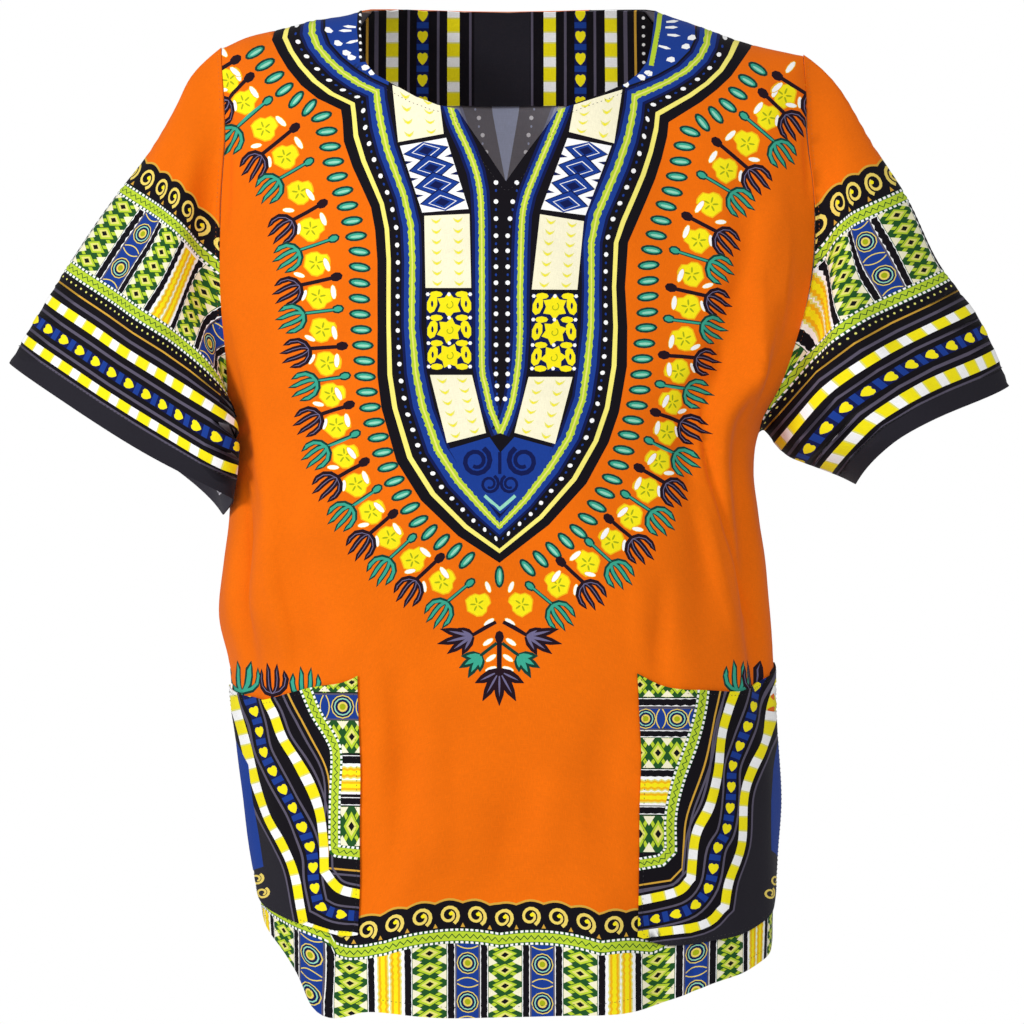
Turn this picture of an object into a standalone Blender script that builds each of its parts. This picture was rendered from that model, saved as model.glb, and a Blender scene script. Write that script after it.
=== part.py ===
"""A short-sleeved dashiki shirt, filled out as if worn, with no wearer.

Metres, +Z up. The front faces -Y and the wearer's right side is at -X.
The origin lies on the shoulder line, at the middle of the neck opening.

The body is a tube of rings that hangs from a ridge line along the shoulders.
A place on it is an angle round the ring (0 at the middle of the front, 90 at
the side seam on +X, 180 at the middle of the back) and a length of cloth
measured down from the ridge. Each piece is cut flat from that cloth and then
laid on the form.
"""

import math

import bpy
import numpy as np
from mathutils import Vector
from mathutils.geometry import delaunay_2d_cdt

# Cloth
WALL = 0.0016
SEAM_GAP = 0.0003
HALF_GAP = SEAM_GAP / 2
SLEEVE_GAP = 0.00045

# Mesh spacing along the cloth, in metres or in radians round the ring
BODY_STEP = 0.021
ROW_SHARE = 0.9
CLEAR_SHARE = 0.55
SHOULDER_STEP = 0.11
HEM_POINTS = 27
SLEEVE_RINGS = 13
ARMHOLE_STEPS = 17
RING_CROWDING = 1.25
SHARP_ANGLE = 40.0
MERGE_DISTANCE = 1e-7

# Body form
RIDGE_DROP = 0.070
RIDGE_ARC = RIDGE_DROP * math.pi / 2
LEFT_TIP_Z = -0.030
RIGHT_TIP_Z = -0.0375
RING_POWER = 2.5
METRES_PER_RADIAN = 0.172
TIP_ANGLE = 80.0

# Height of the shoulder ridge: x, z
RIDGE = (
    (-0.260, -0.0340),
    (-0.216, -0.0290),
    (-0.198, -0.0212),
    (-0.170, -0.0142),
    (-0.147, -0.0080),
    (-0.107, 0.0005),
    (-0.080, 0.0200),
    (-0.040, 0.0380),
    (0.007, 0.0450),
    (0.054, 0.0380),
    (0.094, 0.0200),
    (0.1217, 0.0005),
    (0.1576, -0.0125),
    (0.1888, -0.0240),
    (0.227, -0.0330),
    (0.270, -0.0400),
)

# Side of the ring on -X: z, x
LEFT_SIDE = (
    (0.100, -0.2185),
    (-0.030, -0.2185),
    (-0.080, -0.2240),
    (-0.260, -0.2240),
    (-0.310, -0.2150),
    (-0.335, -0.2110),
    (-0.370, -0.2090),
    (-0.400, -0.2100),
    (-0.430, -0.2140),
    (-0.470, -0.2170),
    (-0.510, -0.2085),
    (-0.550, -0.2050),
    (-0.585, -0.1998),
    (-0.620, -0.1938),
    (-0.660, -0.1890),
    (-0.700, -0.1838),
    (-0.790, -0.1800),
)

# Side of the ring on +X: z, x
RIGHT_SIDE = (
    (0.100, 0.2395),
    (-0.0375, 0.2395),
    (-0.080, 0.2470),
    (-0.240, 0.2470),
    (-0.300, 0.2240),
    (-0.338, 0.2010),
    (-0.370, 0.1970),
    (-0.400, 0.2010),
    (-0.430, 0.2050),
    (-0.470, 0.2068),
    (-0.510, 0.2095),
    (-0.550, 0.2128),
    (-0.585, 0.2152),
    (-0.620, 0.2165),
    (-0.660, 0.2142),
    (-0.700, 0.2130),
    (-0.790, 0.2110),
)

# Half depth of the ring: drop below the ridge, front, back
DEPTH = (
    (0.000, 0.058, 0.054),
    (0.045, 0.062, 0.064),
    (0.090, 0.068, 0.080),
    (0.135, 0.079, 0.094),
    (0.190, 0.095, 0.104),
    (0.250, 0.106, 0.108),
    (0.350, 0.113, 0.106),
    (0.500, 0.113, 0.100),
    (0.650, 0.113, 0.104),
    (0.820, 0.118, 0.112),
)

# Long soft folds of the body. Ridges are positive and troughs negative:
# angle in degrees at the middle, z of the top, z of the bottom,
# half width in degrees, height, drift in degrees per metre going down
BODY_FOLDS = (
    (54.0, -0.130, -0.420, 4.5, 0.0105, 22.0),
    (43.0, -0.110, -0.490, 5.0, -0.0080, 14.0),
    (66.0, -0.300, -0.580, 6.0, -0.0080, 12.0),
    (34.0, -0.420, -0.640, 6.0, 0.0040, 10.0),
    (-50.0, -0.280, -0.520, 6.0, 0.0050, -16.0),
    (-62.0, -0.330, -0.600, 5.0, -0.0055, -10.0),
    (-40.0, -0.400, -0.700, 7.0, -0.0040, 6.0),
    (-20.0, -0.540, -0.830, 7.0, 0.0050, 4.0),
    (-4.0, -0.600, -0.840, 7.0, -0.0035, -6.0),
    (14.0, -0.580, -0.840, 7.0, 0.0045, 8.0),
    (28.0, -0.640, -0.840, 6.0, -0.0040, 6.0),
    (-46.0, -0.690, -0.860, 5.0, 0.0060, 0.0),
    (84.0, -0.400, -0.560, 9.0, 0.0030, 0.0),
    (-84.0, -0.560, -0.740, 9.0, 0.0030, 0.0),
    (116.0, -0.180, -0.560, 7.0, -0.0065, -20.0),
    (129.0, -0.130, -0.480, 6.0, 0.0070, -16.0),
    (146.0, -0.380, -0.820, 8.0, 0.0060, -8.0),
    (162.0, -0.300, -0.830, 8.0, -0.0050, 6.0),
    (179.0, -0.420, -0.840, 8.0, 0.0055, 3.0),
    (196.0, -0.340, -0.820, 8.0, -0.0055, -4.0),
    (213.0, -0.280, -0.800, 8.0, 0.0065, 8.0),
    (230.0, -0.150, -0.520, 6.0, 0.0065, 16.0),
    (243.0, -0.200, -0.600, 6.0, -0.0065, 18.0),
)

# Armholes: how far each reaches in from the side seam, in degrees
ARMHOLE_REACH = {"left_front": 23.0, "left_back": 22.0, "right_front": 21.0, "right_back": 22.0}
UNDERARM_DROP = {"left": 0.305, "right": 0.301}

# Shares of an armhole's length that its rounded top and foot take
ARMHOLE_TOP_SHARE = 0.36
ARMHOLE_FOOT_SHARE = 0.24

# Hem of the front and the back: angle in degrees from the middle, z
FRONT_HEM = (
    (-90.0, -0.697),
    (-75.0, -0.708),
    (-56.0, -0.736),
    (-43.0, -0.768),
    (-30.0, -0.763),
    (-10.0, -0.766),
    (5.0, -0.764),
    (22.0, -0.761),
    (30.0, -0.755),
    (41.0, -0.746),
    (57.0, -0.738),
    (72.0, -0.730),
    (90.0, -0.720),
)
BACK_HEM = (
    (-90.0, -0.697),
    (-60.0, -0.738),
    (-34.0, -0.762),
    (0.0, -0.768),
    (34.0, -0.763),
    (60.0, -0.746),
    (90.0, -0.720),
)

# Front neckline from -X to +X, with the slit down to its middle: x, z
NECK_LEFT = (-0.107, 0.0005)
NECK_RIGHT = (0.1217, 0.0005)
FRONT_NECK = (
    (-0.1062, -0.0190),
    (-0.1045, -0.0365),
    (-0.1010, -0.0480),
    (-0.0940, -0.0570),
    (-0.0813, -0.0645),
    (-0.0629, -0.0755),
    (-0.0460, -0.0825),
    (-0.0310, -0.0860),
    (-0.0120, -0.1150),
    (0.0055, -0.1424),
    (0.0245, -0.1150),
    (0.0438, -0.0872),
    (0.0590, -0.0808),
    (0.0766, -0.0740),
    (0.0965, -0.0650),
    (0.1067, -0.0562),
    (0.1130, -0.0470),
    (0.1165, -0.0330),
    (0.1190, -0.0160),
)

# Back neckline from -X to +X: x, z
BACK_NECK = (
    (-0.1000, 0.0034),
    (-0.0860, 0.0062),
    (-0.0600, 0.0080),
    (-0.0280, 0.0088),
    (0.0070, 0.0090),
    (0.0420, 0.0088),
    (0.0740, 0.0080),
    (0.1000, 0.0062),
    (0.1145, 0.0034),
)

# Patch pockets: x of the front edge and of the bend in the top edge, z of the
# top at the front edge, at the bend and at the side, z of the foot at each end
POCKETS = {
    "pocket_left": {
        "inner_x": -0.1045, "mid_x": -0.1460, "top_inner_z": -0.5120, "top_mid_z": -0.5240,
        "top_outer_z": -0.5290, "foot_inner_z": -0.7060, "foot_outer_z": -0.6930,
    },
    "pocket_right": {
        "inner_x": 0.1030, "mid_x": 0.1440, "top_inner_z": -0.5100, "top_mid_z": -0.5120,
        "top_outer_z": -0.5150, "foot_inner_z": -0.7060, "foot_outer_z": -0.6910,
    },
}
POCKET_SIDE_ANGLE = 88.0

# Facing inside the back of the neck
FACING_FOOT_Z = -0.0620
FACING_SIDE_ZS = (-0.0180, -0.0400)
FACING_FOOT_STEPS = 10

# Sleeves, from the armhole (0) to the cuff (1): place along the sleeve,
# x and z of the top edge, x and z of the underarm, half depth in front,
# half depth behind, share of the depth that has sagged towards the underarm,
# y of the underarm
SLEEVES = {
    "left": (
        (0.00, -0.2160, -0.0300, -0.2130, -0.3350, 0.048, 0.046, 0.10, 0.000),
        (0.10, -0.2360, -0.0510, -0.2200, -0.3360, 0.055, 0.050, 0.12, -0.003),
        (0.19, -0.2490, -0.0730, -0.2230, -0.3390, 0.059, 0.053, 0.15, -0.008),
        (0.36, -0.2770, -0.1170, -0.2240, -0.3450, 0.062, 0.055, 0.20, -0.016),
        (0.49, -0.3000, -0.1470, -0.2220, -0.3530, 0.062, 0.055, 0.22, -0.024),
        (0.72, -0.3385, -0.2036, -0.2180, -0.3710, 0.058, 0.053, 0.22, -0.030),
        (1.00, -0.3810, -0.2740, -0.2150, -0.3920, 0.052, 0.049, 0.20, -0.030),
    ),
    "right": (
        (0.00, 0.2370, -0.0375, 0.2010, -0.3385, 0.048, 0.046, 0.10, 0.000),
        (0.12, 0.2620, -0.0630, 0.2085, -0.3400, 0.056, 0.052, 0.18, 0.000),
        (0.29, 0.2925, -0.1070, 0.2200, -0.3440, 0.062, 0.056, 0.28, -0.002),
        (0.44, 0.3160, -0.1430, 0.2310, -0.3480, 0.064, 0.058, 0.36, -0.004),
        (0.63, 0.3410, -0.1950, 0.2470, -0.3540, 0.064, 0.058, 0.42, -0.006),
        (0.82, 0.3740, -0.2400, 0.2640, -0.3610, 0.061, 0.058, 0.45, -0.006),
        (1.00, 0.3970, -0.2917, 0.2777, -0.3680, 0.057, 0.056, 0.48, -0.006),
    ),
}
SLEEVE_ROUNDING = 0.80
SLEEVE_SETTLE = 0.42

# Sleeve cloth runs straight on from the body for a little before it turns
LEAVE = 0.0050
LEAVE_AT = 0.08

# How far the hem of each cuff arches up between its top and the underarm
CUFF_ARCH = {"left": 0.011, "right": 0.026}

# Place along the sleeve where its folds have their full height
FOLD_FROM = 0.12

# Where a sleeve hangs in front of the body's side: how far it laps over,
# the middle and half width of the lap round the sleeve, and where it is full
BODY_LAP = {"left": 0.021, "right": 0.0}
LAP_AT = 0.40
LAP_WIDTH = 0.07
LAP_FROM = 0.35

# Sleeve folds: place round the sleeve (0 top, 0.25 front, 0.5 underarm, 0.75 back),
# place along it at the middle, half width round, half length along, height
SLEEVE_FOLDS = {
    "left": (
        (0.385, 0.60, 0.055, 0.45, 0.0140),
        (0.30, 0.45, 0.040, 0.35, -0.0050),
        (0.22, 0.50, 0.035, 0.35, 0.0040),
        (0.15, 0.45, 0.040, 0.35, -0.0035),
        (0.72, 0.40, 0.050, 0.35, 0.0060),
        (0.81, 0.45, 0.040, 0.35, -0.0045),
    ),
    "right": (
        (0.20, 0.40, 0.040, 0.35, -0.0050),
        (0.27, 0.45, 0.035, 0.40, 0.0055),
        (0.34, 0.50, 0.030, 0.35, -0.0040),
        (0.70, 0.40, 0.050, 0.35, 0.0060),
        (0.79, 0.45, 0.040, 0.35, -0.0045),
    ),
}

# Colour, roughness of each cloth
ORANGE_CLOTH = ((0.93, 0.22, 0.01, 1.0), 0.75)
BORDER_CLOTH = ((0.10, 0.12, 0.06, 1.0), 0.75)
FACING_CLOTH = ((0.06, 0.06, 0.08, 1.0), 0.75)

SLOPE_STEP = 0.0012


def smooth_curve(rows, column, at):
    """Read one column of a table as a smooth curve over its first column."""
    rows = sorted(rows)
    xs = np.array([row[0] for row in rows])
    ys = np.array([row[column] for row in rows])
    slopes = np.gradient(ys, xs)
    at = np.clip(np.asarray(at, dtype=float), xs[0], xs[-1])
    right = np.clip(np.searchsorted(xs, at), 1, len(xs) - 1)
    left = right - 1
    width = xs[right] - xs[left]
    part = (at - xs[left]) / width
    square = part * part
    cube = square * part
    return (
        (2 * cube - 3 * square + 1) * ys[left]
        + (cube - 2 * square + part) * width * slopes[left]
        + (3 * square - 2 * cube) * ys[right]
        + (cube - square) * width * slopes[right]
    )


def signed_power(value, power):
    return np.sign(value) * np.abs(value) ** power


def unit(vectors):
    return vectors / np.linalg.norm(vectors, axis=-1, keepdims=True)


def ring_sides(drop):
    left = smooth_curve(LEFT_SIDE, 1, LEFT_TIP_Z - drop)
    right = smooth_curve(RIGHT_SIDE, 1, RIGHT_TIP_Z - drop)
    return (left + right) / 2, (right - left) / 2


def drop_of_cloth(down):
    """Height lost below the ridge after a length of cloth, with the lean there."""
    down = np.asarray(down, dtype=float)
    turn = np.clip(down / RIDGE_ARC, 0, 1) * math.pi / 2
    drop = RIDGE_DROP * (1 - np.cos(turn)) + np.maximum(down - RIDGE_ARC, 0)
    return drop, np.sin(turn)


def cloth_of_drop(drop):
    drop = np.asarray(drop, dtype=float)
    turn = np.arccos(np.clip(1 - drop / RIDGE_DROP, 0, 1))
    return np.where(drop < RIDGE_DROP, RIDGE_ARC * turn / (math.pi / 2), RIDGE_ARC + drop - RIDGE_DROP)


def plain_body(angle, down):
    """The body with no folds, at angles in radians."""
    drop, lean = drop_of_cloth(down)
    middle, half = ring_sides(drop)
    x = middle + half * signed_power(np.sin(angle), 2 / RING_POWER)
    front = np.cos(angle) > 0
    depth = np.where(front, smooth_curve(DEPTH, 1, drop), smooth_curve(DEPTH, 2, drop))
    y = -depth * lean * signed_power(np.cos(angle), 2 / RING_POWER)
    z = smooth_curve(RIDGE, 1, x) - drop
    return np.stack([x, y, z], axis=-1)


def slope_normals(surface, first, second):
    """Outward normals of a surface of two values, from points a short step away."""
    along = surface(first + SLOPE_STEP, second) - surface(first - SLOPE_STEP, second)
    down = surface(first, second + SLOPE_STEP) - surface(first, np.maximum(second - SLOPE_STEP, 0))
    return unit(np.cross(down, along))


def fold_height(angle, z):
    degrees = np.degrees(angle)
    total = np.zeros_like(z)
    for middle, top, bottom, width, height, drift in BODY_FOLDS:
        centre = (top + bottom) / 2
        reach = (top - bottom) / 2
        window = np.clip(1 - ((z - centre) / reach) ** 2, 0, 1) ** 1.5
        away = degrees - middle - drift * (centre - z)
        away = (away + 180) % 360 - 180
        total += height * window * np.exp(-((away / width) ** 2))
    return total


def body_surface(angle, down):
    angle = np.asarray(angle, dtype=float)
    down = np.asarray(down, dtype=float)
    plain = plain_body(angle, down)
    normals = slope_normals(plain_body, angle, down)
    return plain + normals * fold_height(angle, plain[..., 2])[..., None]


def body_normals(angle, down):
    return slope_normals(body_surface, np.asarray(angle, float), np.asarray(down, float))


def place_on_body(x, z, back=False):
    """Angle and length of cloth for a point given by x and z."""
    x = np.asarray(x, dtype=float)
    drop = np.maximum(smooth_curve(RIDGE, 1, x) - z, 0)
    middle, half = ring_sides(drop)
    share = np.clip((x - middle) / half, -1, 1)
    angle = np.arcsin(signed_power(share, RING_POWER / 2))
    if back:
        angle = math.pi - angle
    return angle, cloth_of_drop(drop)


def armhole_line(side, face):
    """Places on the body along half an armhole, from the shoulder tip to the underarm."""
    part = (1 - np.cos(np.linspace(0, math.pi, ARMHOLE_STEPS + 1))) / 2
    down = float(cloth_of_drop(UNDERARM_DROP[side])) * part
    top = np.clip(part / ARMHOLE_TOP_SHARE, 0, 1)
    top = top * top * (3 - 2 * top)
    foot = np.clip((1 - part) / ARMHOLE_FOOT_SHARE, 0, 1)
    foot = np.sqrt(1 - (1 - foot) ** 2)
    reach = ARMHOLE_REACH[side + "_" + face] * top * foot
    in_from_seam = reach + (90 - TIP_ANGLE) * (1 - top)
    angle = np.radians(90 - in_from_seam)
    drop, _ = drop_of_cloth(down)
    depth = smooth_curve(DEPTH, 1 if face == "front" else 2, drop)
    seam_angle = math.pi / 2 - (HALF_GAP / depth) ** (RING_POWER / 2)
    angle = np.minimum(angle, seam_angle)
    down = np.maximum(down, shoulder_gap(angle))
    if face == "back":
        angle = math.pi - angle
    if side == "left":
        angle = -angle
    return angle, down


def shoulder_gap(angle):
    """Length of cloth below the ridge that leaves half the seam's gap."""
    depth = DEPTH[0][1]
    across = np.abs(np.cos(angle)) ** (2 / RING_POWER)
    return HALF_GAP * RIDGE_ARC / (math.pi / 2) / (depth * across)


def seam_angle_at(down, face, side):
    drop, _ = drop_of_cloth(down)
    depth = smooth_curve(DEPTH, 1 if face == "front" else 2, drop)
    angle = math.pi / 2 - (HALF_GAP / depth) ** (RING_POWER / 2)
    if face == "back":
        angle = math.pi - angle
    return -angle if side == "left" else angle


def hem_place(table, degrees, face):
    """Place on the body of a hem point, found from its angle and height."""
    angle = math.radians(degrees)
    z = smooth_curve(table, 1, degrees)
    if face == "back":
        angle = math.pi - angle
    drop = -z
    for _ in range(12):
        x = plain_body(angle, cloth_of_drop(drop))[0]
        drop = smooth_curve(RIDGE, 1, x) - z
    return angle, float(cloth_of_drop(drop))


def spaced(start, stop, step):
    count = max(int(round(abs(stop - start) / step)), 1)
    return np.linspace(start, stop, count + 1)


def body_outline(face):
    """Closed outline of the front or back, as angle and length of cloth."""
    table = FRONT_HEM if face == "front" else BACK_HEM
    places = []
    hem = [hem_place(table, d, face) for d in np.linspace(-90, 90, HEM_POINTS)]
    left_foot = hem[0][1]
    right_foot = hem[-1][1]
    places += hem[1:-1]

    side_down = spaced(right_foot, float(cloth_of_drop(UNDERARM_DROP["right"])), BODY_STEP)
    places += [(float(seam_angle_at(d, face, "right")), float(d)) for d in side_down[:-1]]
    angles, downs = armhole_line("right", face)
    places += list(zip(angles[::-1].tolist(), downs[::-1].tolist()))

    neck_right, _ = place_on_body(*NECK_RIGHT, back=face == "back")
    neck_left, _ = place_on_body(*NECK_LEFT, back=face == "back")
    shoulder = spaced(float(angles[0]), float(neck_right), SHOULDER_STEP)[1:]
    places += [(float(a), float(shoulder_gap(a))) for a in shoulder]

    rows = FRONT_NECK if face == "front" else BACK_NECK
    for x, z in rows[::-1]:
        angle, down = place_on_body(x, z, back=face == "back")
        places.append((float(angle), float(down)))

    angles, downs = armhole_line("left", face)
    if face == "back":
        angles = angles + 2 * math.pi
    shoulder = spaced(float(neck_left), float(angles[0]), SHOULDER_STEP)[:-1]
    places += [(float(a), float(shoulder_gap(a))) for a in shoulder]
    places += list(zip(angles.tolist(), downs.tolist()))

    side_down = spaced(float(cloth_of_drop(UNDERARM_DROP["left"])), left_foot, BODY_STEP)[1:]
    turn = 2 * math.pi if face == "back" else 0.0
    places += [(float(seam_angle_at(d, face, "left")) + turn, float(d)) for d in side_down]
    return places


def clear_of_line(points, line, distance):
    """Points of a grid that lie further than a distance from a closed line."""
    starts = np.array(line)
    ends = np.roll(starts, -1, axis=0)
    run = ends - starts
    length = np.maximum((run ** 2).sum(axis=1), 1e-12)
    kept = []
    for point in points:
        part = np.clip(((point - starts) * run).sum(axis=1) / length, 0, 1)
        gap = np.linalg.norm(starts + run * part[:, None] - point, axis=1).min()
        if gap > distance:
            kept.append(point)
    return kept


def signed_area(line):
    beyond = np.roll(line, -1, axis=0)
    return (line[:, 0] * beyond[:, 1] - beyond[:, 0] * line[:, 1]).sum() / 2


def cut_flat(places, patches=()):
    """Cut a piece from flat cloth, with the outlines of what lies on it.

    Returns the places of its points, its triangles, and for each patch the
    triangles that the patch covers.
    """
    lines = [np.array([(angle * METRES_PER_RADIAN, down) for angle, down in places])]
    for patch in patches:
        lines.append(np.array([(angle * METRES_PER_RADIAN, down) for angle, down in patch]))
    lines = [line if signed_area(line) > 0 else line[::-1] for line in lines]
    low = lines[0].min(axis=0)
    high = lines[0].max(axis=0)
    grid = []
    for row, down in enumerate(np.arange(low[1] + BODY_STEP / 2, high[1], BODY_STEP * ROW_SHARE)):
        shift = BODY_STEP / 2 if row % 2 else 0.0
        for across in np.arange(low[0] + shift, high[0], BODY_STEP):
            grid.append((across, down))
    for line in lines:
        grid = clear_of_line(np.array(grid), line, BODY_STEP * CLEAR_SHARE)
    points = []
    outlines = []
    for line in lines:
        outlines.append(list(range(len(points), len(points) + len(line))))
        points += [Vector(p) for p in line.tolist()]
    points += [Vector(p.tolist()) for p in grid]
    result = delaunay_2d_cdt(points, [], outlines, 1, MERGE_DISTANCE)
    cut = np.array([list(p) for p in result[0]])
    faces = [list(face) for face in result[2]]
    covered = []
    for index in range(1, len(lines)):
        covered.append([face for face, under in zip(faces, result[5]) if index in under])
    return cut[:, 0] / METRES_PER_RADIAN, cut[:, 1], faces, covered


def wall_mesh(name, points, normals, faces, middle=0.0):
    """A wall of cloth on both sides of a surface of triangles."""
    outer = points + normals * (middle + WALL / 2)
    inner = points + normals * (middle - WALL / 2)
    count = len(points)
    corner = [points[i] for i in faces[0]]
    facing = np.cross(corner[1] - corner[0], corner[2] - corner[0])
    if np.dot(facing, normals[faces[0][0]]) < 0:
        faces = [face[::-1] for face in faces]
    edges = {}
    for face in faces:
        for start, end in zip(face, face[1:] + face[:1]):
            edges[(start, end)] = True
    rim = [edge for edge in edges if (edge[1], edge[0]) not in edges]
    solid = [list(face) for face in faces]
    solid += [[i + count for i in face[::-1]] for face in faces]
    for start, end in rim:
        solid.append([start + count, end, start])
        solid.append([start + count, end + count, end])
    mesh = bpy.data.meshes.new(name)
    mesh.from_pydata(np.concatenate([outer, inner]).tolist(), [], solid)
    mesh.update()
    mesh.shade_smooth()
    mesh.set_sharp_from_angle(angle=math.radians(SHARP_ANGLE))
    return mesh


def only_used(faces):
    """The points that some triangles use, and the triangles numbered by them."""
    used = sorted({i for face in faces for i in face})
    number = {old: new for new, old in enumerate(used)}
    return used, [[number[i] for i in face] for face in faces]


def body_pieces(face, names, patches):
    """A body panel and the pieces that lie on it, made from its points."""
    angle, down, faces, covered = cut_flat(body_outline(face), patches)
    points = body_surface(angle, down)
    normals = body_normals(angle, down)
    meshes = [wall_mesh(face, points, normals, faces)]
    lift = (WALL + SEAM_GAP) * (1 if face == "front" else -1)
    for name, patch_faces in zip(names, covered):
        used, numbered = only_used(patch_faces)
        meshes.append(wall_mesh(name, points[used], normals[used], numbered, lift))
    return meshes


def pocket_outline(row, side):
    """Outline of a patch pocket, from its front edge to the side seam."""
    sign = -1 if side == "left" else 1
    side_angle = sign * math.radians(POCKET_SIDE_ANGLE)

    def at_x(x, z):
        angle, down = place_on_body(x, z)
        return float(angle), float(down)

    def at_side(z):
        tip = LEFT_TIP_Z if side == "left" else RIGHT_TIP_Z
        return side_angle, float(cloth_of_drop(tip - z))

    top_inner = at_x(row["inner_x"], row["top_inner_z"])
    top_outer = at_side(row["top_outer_z"])
    foot_inner = at_x(row["inner_x"], row["foot_inner_z"])
    foot_outer = at_side(row["foot_outer_z"])
    top_mid = ((top_inner[0] + top_outer[0]) / 2, at_x(row["mid_x"], row["top_mid_z"])[1])
    corners = [top_inner, top_mid, top_outer, foot_outer, foot_inner]
    outline = []
    for start, end in zip(corners, corners[1:] + corners[:1]):
        run = math.hypot((end[0] - start[0]) * METRES_PER_RADIAN, end[1] - start[1])
        pieces = max(int(round(run / BODY_STEP)), 1)
        for i in range(pieces):
            part = i / pieces
            outline.append((start[0] + (end[0] - start[0]) * part, start[1] + (end[1] - start[1]) * part))
    return outline


def facing_outline():
    """Outline of the facing inside the back neck, from the neckline down."""
    rows = [place_on_body(x, z, back=True) for x, z in BACK_NECK]
    left_x = BACK_NECK[0][0]
    right_x = BACK_NECK[-1][0]
    edge = [(right_x, z) for z in FACING_SIDE_ZS]
    edge += [(float(x), FACING_FOOT_Z) for x in np.linspace(right_x, left_x, FACING_FOOT_STEPS + 1)]
    edge += [(left_x, z) for z in FACING_SIDE_ZS[::-1]]
    rows += [place_on_body(x, z, back=True) for x, z in edge]
    return [(float(angle), float(down)) for angle, down in rows]


def armhole_ring(side):
    """Points, outward directions and normals round the whole armhole."""
    front = armhole_line(side, "front")
    back = armhole_line(side, "back")
    angle = np.concatenate([front[0], back[0][::-1][1:-1]])
    down = np.concatenate([front[1], back[1][::-1][1:-1]])
    points = body_surface(angle, down)
    normals = body_normals(angle, down)
    run = unit(np.roll(points, -1, axis=0) - np.roll(points, 1, axis=0))
    out = unit(np.cross(normals, run))
    if side == "left":
        out = -out
    return points + out * SLEEVE_GAP, out, normals


def sleeve_station(side, place, turn):
    """A plain sleeve ring: turn 0 at the top, a half turn at the underarm."""
    rows = SLEEVES[side]
    top_x, top_z, foot_x, foot_z, front, behind, sag, middle = (
        smooth_curve(rows, column, place) for column in range(1, 9)
    )
    along = (1 - np.cos(turn)) / 2
    depth = np.where(np.sin(turn) >= 0, front, behind) * (1 - sag * np.cos(turn))
    y = -depth * signed_power(np.sin(turn), SLEEVE_ROUNDING) + middle * np.sin(turn / 2) ** 2
    x = top_x + (foot_x - top_x) * along
    z = top_z + (foot_z - top_z) * along + CUFF_ARCH[side] * place ** 3 * np.abs(np.sin(turn)) * along
    lap = np.exp(-(((turn / (2 * math.pi) - LAP_AT) / LAP_WIDTH) ** 2))
    x = x + BODY_LAP[side] * lap * np.clip(place / LAP_FROM, 0, 1)
    return np.stack([x, y, z], axis=-1)


def sleeve_folds(side, turn, place):
    total = np.zeros(np.broadcast(turn, place).shape)
    for round_at, along_at, width, length, height in SLEEVE_FOLDS[side]:
        away = (turn / (2 * math.pi) - round_at + 0.5) % 1 - 0.5
        along = (place - along_at) / length
        total = total + height * np.exp(-((away / width) ** 2)) * np.exp(-(along ** 2))
    return total


def grid_normals(grid, side):
    ahead = np.roll(grid, -1, axis=1) - np.roll(grid, 1, axis=1)
    down = np.gradient(grid, axis=0)
    normals = unit(np.cross(ahead, down))
    return -normals if side == "left" else normals


def sleeve_points(side):
    """Grid of points and normals from the armhole ring to the cuff."""
    ring, out, ring_normals = armhole_ring(side)
    count = len(ring)
    turn = np.arange(count) / count * 2 * math.pi
    places = np.linspace(0, 1, SLEEVE_RINGS) ** RING_CROWDING
    start = sleeve_station(side, 0.0, turn)
    rows = []
    for place in places:
        settled = np.clip(place / SLEEVE_SETTLE, 0, 1)
        hold = 1 - settled * settled * (3 - 2 * settled)
        row = sleeve_station(side, place, turn) + (ring - start) * hold
        row += out * LEAVE * place / LEAVE_AT * math.exp(1 - place / LEAVE_AT)
        rows.append(row)
    rows[0] = ring
    grid = np.array(rows)
    normals = grid_normals(grid, side)
    lift = np.array([sleeve_folds(side, turn, place) for place in places])
    fade = np.clip(places / FOLD_FROM, 0, 1)[:, None]
    grid = grid + normals * (lift * fade)[..., None]
    normals = grid_normals(grid, side)
    normals[0] = ring_normals
    return grid, normals


def sleeve_piece(name, side):
    grid, normals = sleeve_points(side)
    rings, count = grid.shape[:2]
    faces = []
    for ring in range(rings - 1):
        for i in range(count):
            here = ring * count + i
            beside = ring * count + (i + 1) % count
            faces.append([here, beside, beside + count])
            faces.append([here, beside + count, here + count])
    return wall_mesh(name, grid.reshape(-1, 3), normals.reshape(-1, 3), faces)


def cloth_material(name, colour, roughness):
    material = bpy.data.materials.new(name)
    material.use_nodes = True
    shader = material.node_tree.nodes["Principled BSDF"]
    shader.inputs["Base Color"].default_value = colour
    shader.inputs["Roughness"].default_value = roughness
    shader.inputs["Metallic"].default_value = 0.0
    return material


def add_piece(collection, mesh, cloth):
    piece = bpy.data.objects.new(mesh.name, mesh)
    colour, roughness = cloth
    mesh.materials.append(cloth_material(mesh.name + "_cloth", colour, roughness))
    collection.objects.link(piece)
    return piece


def clear_scene():
    for item in list(bpy.data.objects):
        bpy.data.objects.remove(item, do_unlink=True)


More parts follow.
